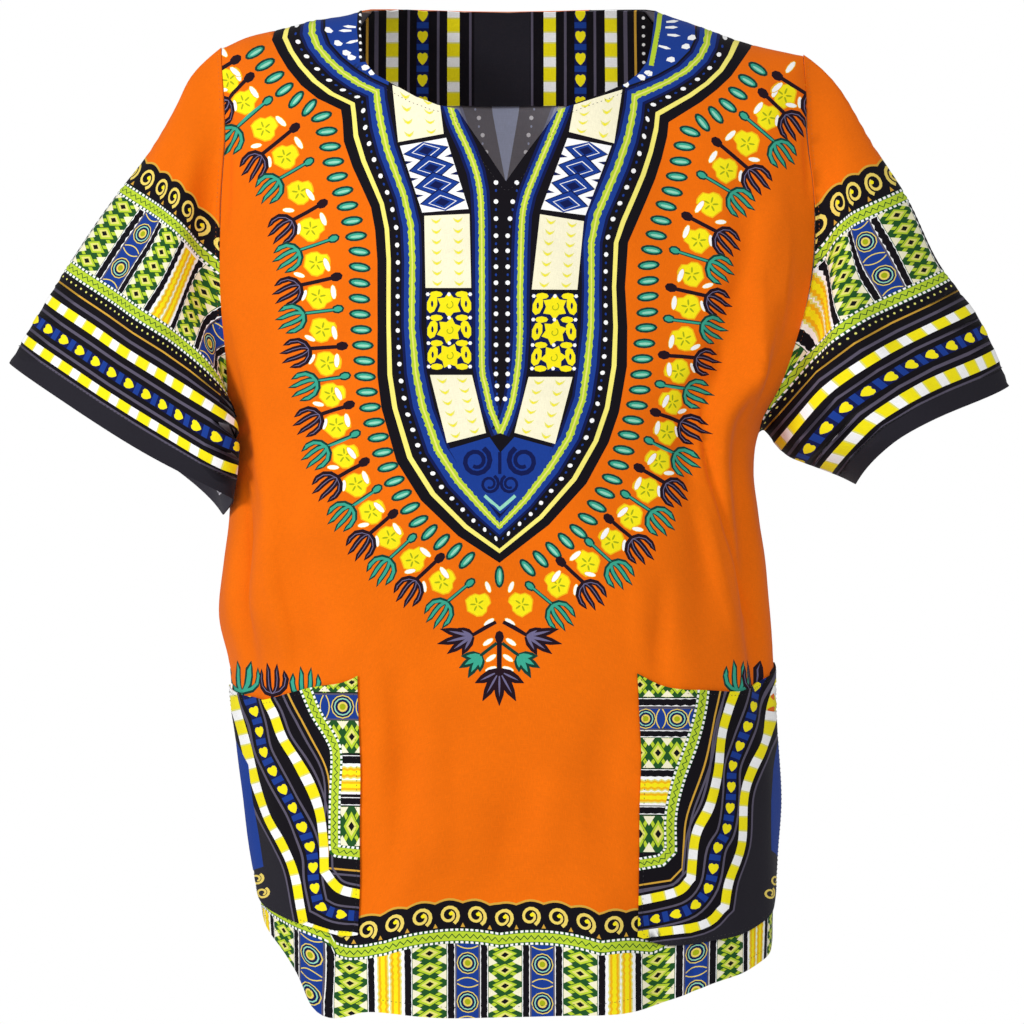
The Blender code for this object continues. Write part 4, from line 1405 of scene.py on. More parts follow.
PANELS = (
    ("cream", (392.4, 85), (439.7, 101.6), (443.8, 134), (398.2, 142.2)),
    ("zigzag", (400, 146), (446.3, 138), (468.7, 209.4), (422.3, 212.7)),
    ("cream", (424.4, 216), (469.6, 214.3), (471.2, 288), (425.6, 288)),
    ("floral", (426, 292), (472, 292), (472, 369), (427, 369)),
    ("cream", (430, 375), (472, 375), (486, 433), (447, 443)),
    ("cream", (574, 105), (622, 90), (613.8, 143.8), (569, 132)),
    ("zigzag", (567.4, 138), (611.3, 146.3), (585.6, 215), (540.9, 209.4)),
    ("cream", (540, 214.3), (584, 221), (577.3, 289.8), (531.7, 289.8)),
    ("floral", (532, 294), (578, 294), (575.8, 371), (530, 371)),
    ("cream", (528.5, 377), (572.5, 377), (555, 444), (514.4, 432.7)),
)
BACK_TOP_PANELS = (
    ("cream", (372, 20), (422, 20), (443.8, 134), (398.2, 142.2)),
    ("cream", (594, 20), (642, 20), (613.8, 143.8), (569, 132)),
)
PLACKET_ROWS = (183, 202, 219, 236, 251, 267, 283, 299, 314, 329.5, 345, 360, 374, 386, 399)
PLACKET_RIGHT = (516.8, 512.7, 510, 507.7)
BACK_DOTS = (
    (489, 165), (484, 147), (480, 129), (476, 111), (472, 93), (467, 75),
    (523, 165), (527, 147), (530, 129), (533, 111), (536, 93), (540, 75),
)
SHOULDER_LEFT_BLOBS = ((329, 31), (338.6, 44), (347, 53.5), (352, 58), (366, 67.5), (373, 72))
SHOULDER_LEFT_STROKES = ((345.6, 31), (352.6, 42), (350, 27))
SHOULDER_RIGHT_BLOBS = ((691, 38), (685, 47), (670, 60), (648, 73), (641, 77), (625, 83.5))
SHOULDER_RIGHT_STROKES = ((672, 22), (671, 28), (673, 36), (664, 48))
OVAL_GUIDE = (
    (253, 50), (266, 66), (282, 87), (293, 97.5), (308, 107), (321, 115), (327, 132), (336, 172),
    (346, 200), (358, 242), (360, 257), (360, 310), (364, 354), (366, 385), (372, 415), (386, 462),
    (400, 492), (412, 511), (422, 526), (434, 536), (447, 546), (461, 556), (478, 568),
)
OVAL_PITCH = 15.6
TULIPS = (
    ("plum", (236, 60), (205, 80)),
    ("teal", (250, 82), (214, 102)),
    ("plum", (250, 78), (226, 100)),
    ("teal", (268, 101), (236, 129)),
    ("plum", (295, 128), (261, 156)),
    ("teal", (309, 162), (278, 180)),
    ("plum", (322.6, 204), (291, 221)),
    ("teal", (334, 239), (298, 251)),
    ("plum", (336.6, 277), (299, 286)),
    ("teal", (338, 309), (303, 314)),
    ("plum", (342, 346), (308, 349)),
    ("teal", (345, 376), (316, 381)),
    ("plum", (349, 405), (319, 415)),
    ("teal", (355, 434), (326, 447)),
    ("plum", (364, 462), (336, 478)),
    ("teal", (377, 489), (350, 507)),
    ("plum", (393, 514), (368, 535)),
    ("teal", (412, 538), (388, 560)),
    ("plum", (439.7, 558), (415, 581)),
    ("teal", (470, 583), (446, 603)),
)
TULIPS_SKIPPED = (1,)


def mirrored(point):
    """A place of the left border on the right border."""
    x, y = point
    middle = 500 + (583 - y) * 6 / 480
    return 2 * middle - x, y + 3 + (583 - y) * 12 / 480


def yoke_path(rows):
    outer = np.array([row[0] for row in rows], dtype=float)
    inner = np.array([row[1] for row in rows], dtype=float)
    return Path(outer, (inner - outer) / YOKE_WIDTH)


def strip(cloth, name, line, width, step=LINE_STEP):
    path = Path(line)
    band(cloth, name, path, -width / 2, width / 2, step=step)


def inside_of(path, start=0.0, stop=None):
    along = path.steps(start, path.length if stop is None else stop, 8.0)
    return path.at(along, np.full(len(along), 1.5 * YOKE_WIDTH))


def quad(cloth, name, panel, low=0.0, high=1.0, left=0.0, right=1.0):
    cloth.ink(name, panel_at(panel, np.array([(left, low), (right, low), (right, high), (left, high)])))


def panel_at(panel, parts):
    """Points of a four-cornered panel: across from the left, down from the top."""
    tl, tr, br, bl = (np.array(corner, dtype=float) for corner in panel)
    u, v = parts[:, :1], parts[:, 1:]
    return (tl * (1 - u) + tr * u) * (1 - v) + (bl * (1 - u) + br * u) * v


def panel_size(panel):
    tl, tr, br, bl = (np.array(corner, dtype=float) for corner in panel)
    return np.linalg.norm((tr + br - tl - bl) / 2), np.linalg.norm((bl + br - tl - tr) / 2)


def in_panel(panel, u, v, shape):
    width, height = panel_size(panel)
    return panel_at(panel, np.array([(u, v)]) + shape / (width, height))


def cream_panel(cloth, panel):
    quad(cloth, "cream", panel)
    _, height = panel_size(panel)
    rows = max(int(round(height / 10.5)), 1)
    mark = np.array([(-5.2, -2.4), (-2.4, -0.6), (0, 0.4), (2.4, -0.6), (5.2, -2.4), (3.4, 1.4), (0.6, 3.2),
                     (-0.6, 3.2), (-3.4, 1.4)])
    for i in range(rows):
        for u in (0.26, 0.74):
            cloth.ink("butter", in_panel(panel, u, (i + 0.5) / rows, mark), UNCUT)
            cloth.ink("yellow", in_panel(panel, u, (i + 0.5) / rows, mark * 0.5 + (0, 0.9)), UNCUT)


def zigzag_panel(cloth, panel):
    quad(cloth, "white", panel)
    _, height = panel_size(panel)
    cells = max(int(round(height / 17)), 1)
    for i in range(cells):
        middle = (i + 0.5) / cells
        for name, u, v in (("navy", 0.50, 0.78), ("blue", 0.46, 0.70), ("white", 0.31, 0.42),
                           ("blue", 0.28, 0.37),
                           ("navy", 0.16, 0.24)):
            high, low = max(middle - v / cells, 0.0), min(middle + v / cells, 1.0)
            shape = np.array([(0.5 - u, middle), (0.5, high), (0.5 + u, middle), (0.5, low)])
            cloth.ink(name, panel_at(panel, shape), UNCUT)
    for i in range(1, cells):
        for side, reach in ((0.0, 0.16), (1.0, 0.84)):
            edge = i / cells
            shape = np.array([(side, edge - 0.10 / cells), (reach, edge), (side, edge + 0.10 / cells)])
            cloth.ink("navy", panel_at(panel, shape), UNCUT)


def star(size, count=5, inner=0.45, lean=0.0):
    turns = np.arange(2 * count) / (2 * count) * 2 * math.pi
    radius = np.where(np.arange(2 * count) % 2, inner, 1.0) * size
    return turned(np.stack([radius * np.sin(turns), -radius * np.cos(turns)], axis=-1), lean)


def floral_panel(cloth, panel):
    """A yellow panel with a navy curling trellis and white beads."""
    quad(cloth, "navy", panel)
    for i, v in enumerate((0.17, 0.5, 0.83)):
        cloth.ink("yellow", in_panel(panel, 0.5, v, star(13.2, 6, 0.66, 12 * i)), UNCUT)
        cloth.ink("olive", in_panel(panel, 0.5, v, ribbon(scroll_line(4.4, 0.8), 1.0)), UNCUT)
        for u in (0.13, 0.87):
            cloth.ink("yellow", in_panel(panel, u, v - 0.015, oval(5.2, 9.6, 8, 14 if u < 0.5 else -14)), UNCUT)
            cloth.ink("navy", in_panel(panel, u, v - 0.015, oval(1.3, 3.4, 6)), UNCUT)
    for v in (0.03, 0.335, 0.665, 0.97):
        for u in (0.22, 0.78):
            cloth.ink("yellow", in_panel(panel, u, v, oval(6.6, 3.2, 8)), UNCUT)
        for u in (0.5, 0.04, 0.96):
            cloth.ink("white", in_panel(panel, u, v, oval(2.0, 2.0, 6)), UNCUT)


PANEL_DRAWERS = {"cream": cream_panel, "zigzag": zigzag_panel, "floral": floral_panel}


def shoulder_print(cloth, left, right):
    """Bright blue between the yoke's band and the neckline, with white marks."""
    for edge, blobs, strokes, near in (
        (left, SHOULDER_LEFT_BLOBS, SHOULDER_LEFT_STROKES, (400, 0)),
        (right, SHOULDER_RIGHT_BLOBS, SHOULDER_RIGHT_STROKES, (600, 0)),
    ):
        kink = 6 if edge is left else 7
        line = inside_of(edge, 0.0, edge.run[kink])
        cloth.ink("blue", np.concatenate([line, [near]]))
        pull = np.array([near], dtype=float)
        for centre in blobs:
            shape = np.array([(-4.4, -2.0), (-1.0, -3.2), (4.2, -1.2), (3.0, 1.4), (-1.0, 2.6), (-4.0, 1.6)])
            cloth.ink("white", toward(shape, centre, pull[0] - np.array(centre) + (0, 60)), UNCUT)
        for centre in strokes:
            shape = np.array([(-7.0, 0.0), (-2.0, -1.5), (6.0, -0.8), (6.0, 0.9), (-2.0, 1.4)])
            cloth.ink("white", toward(shape, centre, pull[0] - np.array(centre) + (0, 30)), UNCUT)
    strip(cloth, "black", ((361, 4), (360, 30), (363, 62)), 6.0)
    for y in range(8, 62, 7):
        cloth.ink("white", oval(1.5, 1.5, 6) + (360.5, y), UNCUT)
    for name, x, width in (("lime", 658, 5.0), ("black", 646, 9.0), ("gold", 637, 2.4), ("grey", 628, 5.0)):
        strip(cloth, name, ((x + 3, 2), (x, 28), (x - 7, 66)), width)
    for y in range(6, 66, 7):
        cloth.ink("white", oval(1.5, 1.5, 6) + (646 + (28 - y) * 0.14, y), UNCUT)


def tip_print(cloth):
    """The blue foot of the yoke, with plain scrolls."""
    cloth.ink("blue", np.array([(449, 449), (489.5, 437), (500.3, 452.6), (514.4, 437), (552.6, 447.6),
                                (530, 487), (500.3, 514), (471, 487)]))
    for x, y, size, flip in ((476, 461, 15.0, 1), (523, 461, 15.0, -1), (489.5, 484, 9.5, 1),
                             (510, 484, 9.5, -1)):
        line = scroll_line(size, 1.5) * (flip, 1)
        cloth.ink("navy", ribbon(line, np.linspace(size * 0.34, size * 0.24, len(line))) + (x, y), UNCUT)
    cloth.ink("navy", ribbon(np.array([(499.8, 452), (499.8, 474)]), 3.4), UNCUT)
    chevron = ribbon(np.array([(484.6, 495.7), (499.8, 509.0), (515.3, 495.7)]), 3.2)
    cloth.ink("mint", chevron, UNCUT)


def yoke_print(cloth, back):
    left, right = yoke_path(YOKE_LEFT), yoke_path(YOKE_RIGHT)
    for name, low, high in YOKE_BANDS[:1]:
        for path in (left, right):
            band(cloth, name, path, low * YOKE_WIDTH, high * YOKE_WIDTH)
    cloth.ink("black", np.concatenate([inside_of(left), inside_of(right)[::-1]]))
    for path in (left, right):
        for name, low, high in YOKE_BANDS[1:]:
            if name == "lime":
                jagged(cloth, name, path, low * YOKE_WIDTH, high * YOKE_WIDTH, 0.9)
                band(cloth, "butter", path, 0.97 * YOKE_WIDTH, 1.03 * YOKE_WIDTH)
                continue
            band(cloth, name, path, low * YOKE_WIDTH, high * YOKE_WIDTH)
        beads(cloth, "blue", path, 0.39 * YOKE_WIDTH, 17.0, 1.5, 1.1, 12.5, count=6)
        beads(cloth, "white", path, 0.39 * YOKE_WIDTH, 17.0, 2.4, 2.2, 4.0)
    panels = PANELS
    if back:
        panels = [p for p in PANELS if p[1] not in ((392.4, 85), (574, 105))] + list(BACK_TOP_PANELS)
    else:
        shoulder_print(cloth, left, right)
    for line in (INNER_LEFT, INNER_RIGHT):
        strip(cloth, "navy", line, 19.0)
        strip(cloth, "blue", line, 13.0)
    for kind, *panel in panels:
        PANEL_DRAWERS[kind](cloth, panel)
    for line in (INNER_LEFT, INNER_RIGHT):
        jagged(cloth, "lime", Path(rounded(line)), -3.0, 3.0, 0.8)
        strip(cloth, "butter", rounded(line), 1.6)
    for i, y in enumerate(PLACKET_ROWS):
        for x in (496 if y < 380 else 497, PLACKET_RIGHT[min(i, 3)] if y < 390 else 505):
            cloth.ink("white", oval(2.4, 2.4, 8) + (x, y), UNCUT)
            cloth.ink("blue", oval(1.2, 1.6, 5) + (x, y + 8), UNCUT)
    tip_print(cloth)
    if back:
        for x, y in BACK_DOTS:
            cloth.ink("white", oval(2.4, 2.4, 8) + (x, y), UNCUT)
            cloth.ink("blue", oval(1.2, 1.6, 5) + (x, y + 9), UNCUT)
        cloth.ink("blue", np.array([(486, 60), (491, 107), (505.5, 182), (519, 107), (524, 60)]))


def ornament(cloth, centre, direction):
    pod = oval(11.4, 5.0, 12) * np.array([(1.0, 1.0)])
    cloth.ink("forest", toward(pod, centre, direction), UNCUT)
    cloth.ink("teal", toward(oval(8.8, 3.0, 10), centre, direction), UNCUT)
    cloth.ink("mint", toward(oval(6.6, 1.3, 8) - (0.5, 0.4), centre, direction), UNCUT)


# Blades of a leaf head: distance from its axis, length and width
BLADES = ((-10.5, 25.0, 5.6), (-3.4, 31.0, 5.4), (4.0, 30.0, 5.4), (11.0, 24.0, 5.6))
HEAD_LEAN = 14.0


def blade(off, length, width):
    """A blade that leaves the stem sideways and then runs along the head."""
    line = np.array([(0.0, 0.0), (2.5, 0.60 * off), (7.5, 1.02 * off), (15.0, 1.16 * off),
                     (length * 0.78, 1.10 * off), (length, 0.92 * off + math.copysign(1.6, off))])
    return ribbon(line, np.array([0.75, 0.95, 1.0, 1.0, 0.85, 0.06]) * width)


def tulip(cloth, kind, bulb, base, size=1.0, flip=1):
    """A forked leaf head on a stem with a small bulb."""
    bulb, base = np.array(bulb, dtype=float), np.array(base, dtype=float)
    aim = unit(base - bulb)
    dark, light = ("plum", "lilac") if kind == "plum" else ("forest", "teal")
    cloth.ink(dark, ribbon(np.array([bulb, (bulb + base) / 2, base]), 3.8), UNCUT)
    cloth.ink(dark, toward(oval(6.6, 4.6, 8), bulb, aim), UNCUT)
    if kind == "teal":
        cloth.ink(light, ribbon(np.array([bulb, base]), 1.9), UNCUT)
        cloth.ink(light, toward(oval(4.6, 2.8, 8), bulb, aim), UNCUT)
    lean = -HEAD_LEAN * flip
    for off, length, width in BLADES:
        cloth.ink(dark, toward(turned(blade(off, length, width) * size, lean), base - aim * 2, aim), UNCUT)
    share = 0.15 if kind == "plum" else 0.52
    for off, length, width in BLADES:
        inner = blade(off, length - 4.0, width * share) + (1.2, 0)
        cloth.ink(light, toward(turned(inner * size, lean), base - aim * 2, aim), UNCUT)


def leaf(length, width):
    return ribbon(np.array([(0.0, 0.0), (length * 0.35, 0.0), (length * 0.7, 0.0), (length, 0.0)]),
                  np.array([0.6, 1.0, 0.7, 0.05]) * width)


def petal(cloth, centre, direction, size=1.0):
    cloth.ink("amber", toward(oval(7.8, 3.4, 9) * size, centre, direction), UNCUT)
    cloth.ink("white", toward(oval(7.0, 2.6, 9) * size, centre, direction), UNCUT)


BLOSSOM = ((13.0, 2.0), (11.5, 6.5), (6.0, 8.0), (3.0, 11.5), (-3.0, 12.5), (-8.0, 10.0), (-10.5, 5.0),
           (-13.0, 0.0), (-10.5, -5.5), (-8.5, -10.5), (-2.5, -11.5), (3.5, -10.5), (6.5, -7.0), (12.0, -5.5),
           (13.5, -1.5))


def blossom(cloth, centre, direction, size=1.0):
    """A yellow flower with a ragged rim and olive marks."""
    shape = np.array(BLOSSOM) * size
    cloth.ink("amber", toward(shape * 1.07, centre, direction), UNCUT)
    cloth.ink("yellow", toward(shape * 0.96, centre, direction), UNCUT)
    for turn in (0, 75, 150, 215, 290):
        mark = turned(oval(3.4, 1.0, 6) + (4.6, 0), turn) * size
        cloth.ink("olive", toward(mark - (0.8, 0), centre, direction), UNCUT)


def border_half(cloth, place, flip):
    """The floral border down one side of the yoke."""
    guide = Path(rounded([place(p) for p in OVAL_GUIDE]))
    for along in np.arange(4.0, guide.length, OVAL_PITCH):
        centre, side = guide.at([along, along], [0.0, 1.0])
        ornament(cloth, centre, turned([side - centre], 8 * flip)[0])
    stems = [(kind, np.array(place(bulb)), np.array(place(base)))
             for i, (kind, bulb, base) in enumerate(TULIPS) if i not in TULIPS_SKIPPED]
    for (_, a, b), (_, c, d) in zip(stems[:-1], stems[1:]):
        centre = (a + b + c + d) / 4
        blossom(cloth, centre, (a - b + c - d) / 2)
    for kind, bulb, base in stems:
        if kind == "plum":
            aim = unit(base - bulb)
            along = np.array([-aim[1], aim[0]])
            for sign in (-1, 1):
                petal(cloth, bulb + along * 14 * sign + aim * 6.5, along + aim * 0.12 * sign)
            petal(cloth, base + along * 10.5 * flip - aim * 3, -aim * 0.86 - along * 0.51 * flip, 0.82)
            petal(cloth, base - along * 10.5 * flip - aim * 3, aim * 0.56 - along * 0.83 * flip, 0.82)
        tulip(cloth, kind, bulb, base, flip=flip)


def border_foot(cloth):
    """The leaf fan and flowers below the tip of the yoke."""
    ornament(cloth, np.array((499.4, 576.6)), np.array((0.0, 1.0)))

    def left(point):
        return point

    def right(point):
        return 999 - point[0], point[1]

    for place, flip in ((left, 1), (right, -1)):
        for centre, aim in (((488, 587), (2, 5)), ((489, 622), (3, -2)), ((488, 642), (3, -2)),
                            ((491, 658), (3, -2)), ((491, 669), (3, -1))):
            petal(cloth, place(centre), (aim[0] * flip, aim[1]), 0.85)
        blossom(cloth, place((478, 604)), (6 * flip, -4), 0.95)
        cloth.ink("plum", ribbon(np.array([place((496, 622)), place((470, 637))]), 3.4), UNCUT)
        cloth.ink("forest", ribbon(np.array([place((497, 643)), place((478, 658))]), 3.4), UNCUT)
        for dark, light, heart, tips in (
            ("plum", "lilac", (472, 636), ((440, 629), (437, 644), (447, 654), (462, 655), (458, 628))),
            ("forest", "teal", (480, 656), ((461, 656), (459, 668), (468, 678), (480, 672))),
        ):
            for name, share, width in ((dark, 1.0, 10.0), (light, 0.72, 3.0 if light == "lilac" else 5.4)):
                for tip in tips:
                    run = np.array(place(tip)) - place(heart)
                    length = float(np.linalg.norm(run)) * share
                    cloth.ink(name, toward(leaf(length, width), place(heart), run), UNCUT)
    cloth.ink("plum", ribbon(np.array([(499.4, 638), (499.4, 678)]), 5.0), UNCUT)
    cloth.ink("plum", oval(4.6, 6.5, 8) + (499.4, 637), UNCUT)
    for x, y in ((475, 684), (482.6, 702), (499.4, 706.7), (516, 702), (524, 684)):
        tip = np.array((x, y)) - (499.4, 672)
        length = float(np.linalg.norm(tip))
        cloth.ink("plum", toward(leaf(length, 12.0), (499.4, 671), tip), UNCUT)
    for x, y in ((475, 684), (482.6, 702), (499.4, 706.7), (516, 702), (524, 684)):
        tip = np.array((x, y)) - (499.4, 672)
        length = float(np.linalg.norm(tip))
        cloth.ink("lilac", toward(leaf(length * 0.6, 2.0) + (5, 0), (499.4, 671), tip), UNCUT)


def neck_and_border(cloth, back):
    border_half(cloth, lambda p: p, 1)
    border_half(cloth, mirrored, -1)
    border_foot(cloth)
    yoke_print(cloth, back)


# Stripes of the sleeves, in pixels of cloth from the cuff
def sleeve_print(cloth, reach):
    path = Path([(-reach, 0), (reach, 0)], [(0, 1), (0, 1)])
    for name, low, high in (
        ("charcoal", -4, 22), ("black", 22, 46), ("grey", 19.6, 21.6), ("grey", 38.6, 41.4),
        ("black", 57, 108),
        ("grey", 62, 64.8), ("grey", 86, 88.8), ("gold", 95.4, 97.2),
    ):
        band(cloth, name, path, low, high, step=40)
    for low, high in ((25.0, 34.0), (71.0, 80.5)):
        two_tone(cloth, path, low, high)
    hearts(cloth, path, 46, 57)
    beads(cloth, "butter", path, 103.4, 7.0, 1.2, 1.2, 3.0, count=5)
    columns(cloth, path, reach + 25, 460, 122, 203)
    zigzag(cloth, path, 108, 122)
    zigzag(cloth, path, 203, 217)
    curls(cloth, path, 217, 244, 26.0)


# Heights of the stripes on the left and on the right sleeve, in pixels of cloth
SLEEVE_HEIGHTS = {
    "left": ((0, 0), (300, 300)),
    "right": ((0, 0), (24, 25), (29, 34), (51.5, 62), (75.5, 87), (115, 130), (210, 220), (246, 261),
              (300, 315)),
}


HEM_LINE = (
    (238, 897), (266, 904.7), (298, 915), (328, 927), (334, 941.6), (357.5, 944.6), (387, 940), (431, 930),
    (500, 933), (600, 940), (653, 940), (683, 922), (727, 912), (770, 903), (800, 898),
)
HEM_MIDDLE = 505
HEM_CURL_HIGH = 28.0
HEM_ZIGZAG = 15.0
HEM_REACH = 420.0


def hem_run(back=False):
    """Angles across the body near the hem, with pixels from the print's middle."""
    seen = np.stack([np.arange(300.0, 721.0, 5.0), np.full(85, 965.0)], axis=-1)
    middle = (drawn_on_back if back else seen_on_body)(seen)[:, 0] / METRES_PER_RADIAN
    side = math.pi / 2
    first, last = (math.pi + side, side) if back else (-side, side)
    before = np.linspace(first, middle[0], 100)[:-1]
    after = np.linspace(middle[-1], last, 100)[1:]
    angle = np.concatenate([before, middle, after])
    line = plain_body(angle, np.full(len(angle), 0.78))
    run = np.linalg.norm(np.diff(line, axis=0), axis=1)
    run[99:99 + 84] = 5.0 * CLOTH_PIXEL
    run = np.concatenate([[0.0], np.cumsum(run)])
    return angle, run - run[99] + (300.0 - HEM_MIDDLE) * CLOTH_PIXEL


def hem_frame(back):
    """From pixels along the hem's band and across it to the flat plane."""
    angle, run = hem_run()
    seen = seen_on_body(np.array(HEM_LINE, dtype=float))
    across = (np.array(HEM_LINE)[:, 0] - HEM_MIDDLE) * CLOTH_PIXEL
    downs = seen[:, 1]
    if back:
        angle, run = hem_run(True)

    def place(points):
        along = points[:, 0] * CLOTH_PIXEL
        down = np.interp(along, across, downs) + points[:, 1] * CLOTH_PIXEL
        return np.stack([np.interp(along, run, angle) * METRES_PER_RADIAN, down], axis=-1)

    return place


def hem_print(cloth, back):
    """The zigzag line, the scroll band over it and the columns under it."""
    if not back:
        for kind, x, y in (("teal", 242, 691), ("plum", 272, 693), ("teal", 304, 697), ("teal", 738, 690),
                           ("plum", 757, 690)):
            tulip(cloth, kind, (x, y + 14), (x, y), 1.05, 0.0)
    cloth.frame = hem_frame(back)
    path = Path([(-HEM_REACH, 0), (HEM_REACH, 0)], [(0, 1), (0, 1)])
    band(cloth, "black", path, 0, 90, step=12)
    columns(cloth, path, HEM_REACH, HEM_REACH, HEM_ZIGZAG, 92)
    zigzag(cloth, path, 0, HEM_ZIGZAG)
    curls(cloth, path, 3 - HEM_CURL_HIGH, 0, 27.0, flip=-1)


POCKET_LEFT_LINES = {
    "outer": ((228, 660), (234.7, 693), (246.6, 737.5), (257, 779), (268.8, 814), (283.6, 841), (295.4, 868),
              (302.8, 906), (307, 925), (330, 933), (362, 937)),
    "hearts": ((243, 660), (249.5, 696), (258.4, 723), (264.3, 749), (274.7, 770), (289.5, 797), (298.3, 814),
               (307, 835), (313, 856), (314.6, 879.5), (320, 905), (336, 913), (362, 916)),
    "dashes": ((256, 660), (265.8, 696), (274.7, 714), (283.6, 737.5), (298.3, 761), (310.2, 785),
               (319, 811.5),
               (323.5, 841), (325, 871), (339.8, 888), (362, 894)),
    "gold": ((280, 662), (289.5, 696), (310, 737.5), (328, 776), (329.4, 826), (328, 868), (362, 870.6)),
    "zigzag": ((294, 660), (305.7, 690), (316, 714), (331, 737.5), (336.8, 755), (335.3, 797), (335.3, 844),
               (338, 851), (362, 853)),
}
POCKET_RIGHT_LINES = {
    "zigzag": ((704, 655), (702, 675), (697.6, 708), (688.8, 743), (677, 779), (669.5, 814), (669.5, 850),
               (660, 860), (630, 865)),
    "gold": ((724, 655), (721, 678), (709.5, 726), (700.6, 767), (685.8, 814), (682.8, 841), (681.4, 868),
             (670, 880), (630, 886)),
    "dashes": ((741, 655), (737.6, 678), (727, 708), (718.3, 737.5), (714, 773), (706.5, 805.6), (694.7, 835),
               (690, 878), (675, 892), (630, 902)),
    "hearts": ((763, 655), (759.8, 678), (751, 711), (739, 743), (730, 767), (728.7, 791), (727, 811.5),
               (722.8, 832), (714, 850), (708, 885.4), (690, 908), (659, 918), (630, 922.4)),
    "outer": ((776, 660), (771.6, 696), (765.7, 734.6), (751, 767), (742, 797), (739, 844), (727, 879.5),
              (722.8, 906), (700, 925), (630, 936)),
}
POCKET_ROWS_LEFT = (
    (lattice, 672, 692), (circles, 693, 720), (lattice, 720, 753), (separator, 755, 764), (floral, 764, 794),
    (separator, 797, 805), (lattice, 806, 846),
)
POCKET_ROWS_RIGHT = (
    (lattice, 672, 697), (separator, 698, 706), (circles, 707, 730), (separator, 730, 737),
    (lattice, 737, 768),
    (separator, 769, 777), (floral, 777, 805), (separator, 806, 814), (lattice, 815, 852),
)


def pocket_print(cloth, side):
    left = side == "left"
    lines = POCKET_LEFT_LINES if left else POCKET_RIGHT_LINES
    paths = {name: Path(rounded(line)) for name, line in lines.items()}
    edge, middle, sign = (362.0, 318.0, 1.0) if left else (630.0, 690.0, -1.0)
    across = Path([(edge, 600), (edge, 960)], [(-sign, 0), (-sign, 0)])
    for draw, top, foot in POCKET_ROWS_LEFT if left else POCKET_ROWS_RIGHT:
        draw(cloth, across, top - 600, foot - 600, 0.0, abs(edge - middle) + 30)
    for name, ink, low, high in (
        ("zigzag", "black", 0, 60), ("gold", "gold", -0.9, 0.9), ("gold", "grey", 4.0, 6.0),
        ("dashes", "grey", -9.5, -7.4), ("hearts", "grey", -9.6, -7.6), ("hearts", "grey", 7.8, 9.8),
        ("outer", "charcoal", 9, 60), ("outer", "grey", 8.0, 9.6),
    ):
        if not left:
            low, high = -high, -low
        band(cloth, ink, paths[name], low, high)
    for name, half in (("dashes", 4.6), ("outer", 4.2)):
        two_tone(cloth, paths[name], -half, half)
    hearts(cloth, paths["hearts"], -5.2, 5.2, 21.0)
    zigzag(cloth, paths["zigzag"], -6.5, 6.5)
    cloth.ink("blue", np.array(BLUE_SLIVERS[side], dtype=float))
    for x, y in POCKET_CURLS[side]:
        line = scroll_line(5.6)
        cloth.ink("straw", ribbon(line, np.linspace(2.2, 1.6, len(line))) + (x, y), UNCUT)


BLUE_SLIVERS = {
    "left": ((240, 740), (251, 764), (256, 800), (262, 835), (267, 866), (256, 870), (246, 830), (238, 780)),
    "right": ((776, 735), (771, 770), (768, 800), (768, 850), (784, 862), (786, 800), (784, 740)),
}
POCKET_CURLS = {"left": ((262, 878), (267, 892)), "right": ((772, 880), (766, 893))}


FACING_STRIPES = (
    ("charcoal", 474, 530), ("grey", 468.8, 471.2), ("grey", 436.4, 439), ("grey", 406.4, 409),
    ("grey", 373, 377),
    ("gold", 364.8, 367.2), ("grey", 531, 533.4), ("grey", 564.4, 567), ("grey", 594.4, 597),
    ("grey", 625, 629),
    ("gold", 635.8, 638.2),
)
FACING_TOP = -20.0
FACING_FOOT = 130.0


def facing_print(cloth):
    """The stripes of the facing, on its side towards the neck."""
    for name, left, right in FACING_STRIPES:
        band(cloth, name, Path([(left, FACING_TOP), (left, FACING_FOOT)], [(1, 0), (1, 0)]), 0, right - left)
    for x in (391, 453, 550, 612):
        path = Path([(x, FACING_TOP), (x, FACING_FOOT)], [(1, 0), (1, 0)])
        two_tone(cloth, path, -6.2, 6.2)
    for x in (422, 581):
        hearts(cloth, Path([(x, FACING_TOP), (x, FACING_FOOT)], [(1, 0), (1, 0)]), -6, 6)
    for x in (357, 645):
        beads(cloth, "white", Path([(x, FACING_TOP), (x, FACING_FOOT)], [(1, 0), (1, 0)]), 0.0, 9.0, 1.7, 1.7)


CAMERA_LENS = SENSOR * CAMERA_DISTANCE / (FRAME_PIXELS * PIXEL)
SLEEVE_PIXEL = 0.00077
SLEEVE_REACH = 400.0
SLEEVE_DEPTH_SHARE = 0.35
FLOOR_Z = -1.45
POCKET_LIFT = WALL / 2 + SEAM_GAP + INLAY_LIFT
FACING_LIFT = -POCKET_LIFT
FACING_REACH = 0.0115
FACING_TOP_Z = -0.0070


def node(tree, kind, **values):
    made = tree.nodes.new(kind)
    for name, value in values.items():
        setattr(made, name, value)
    return made


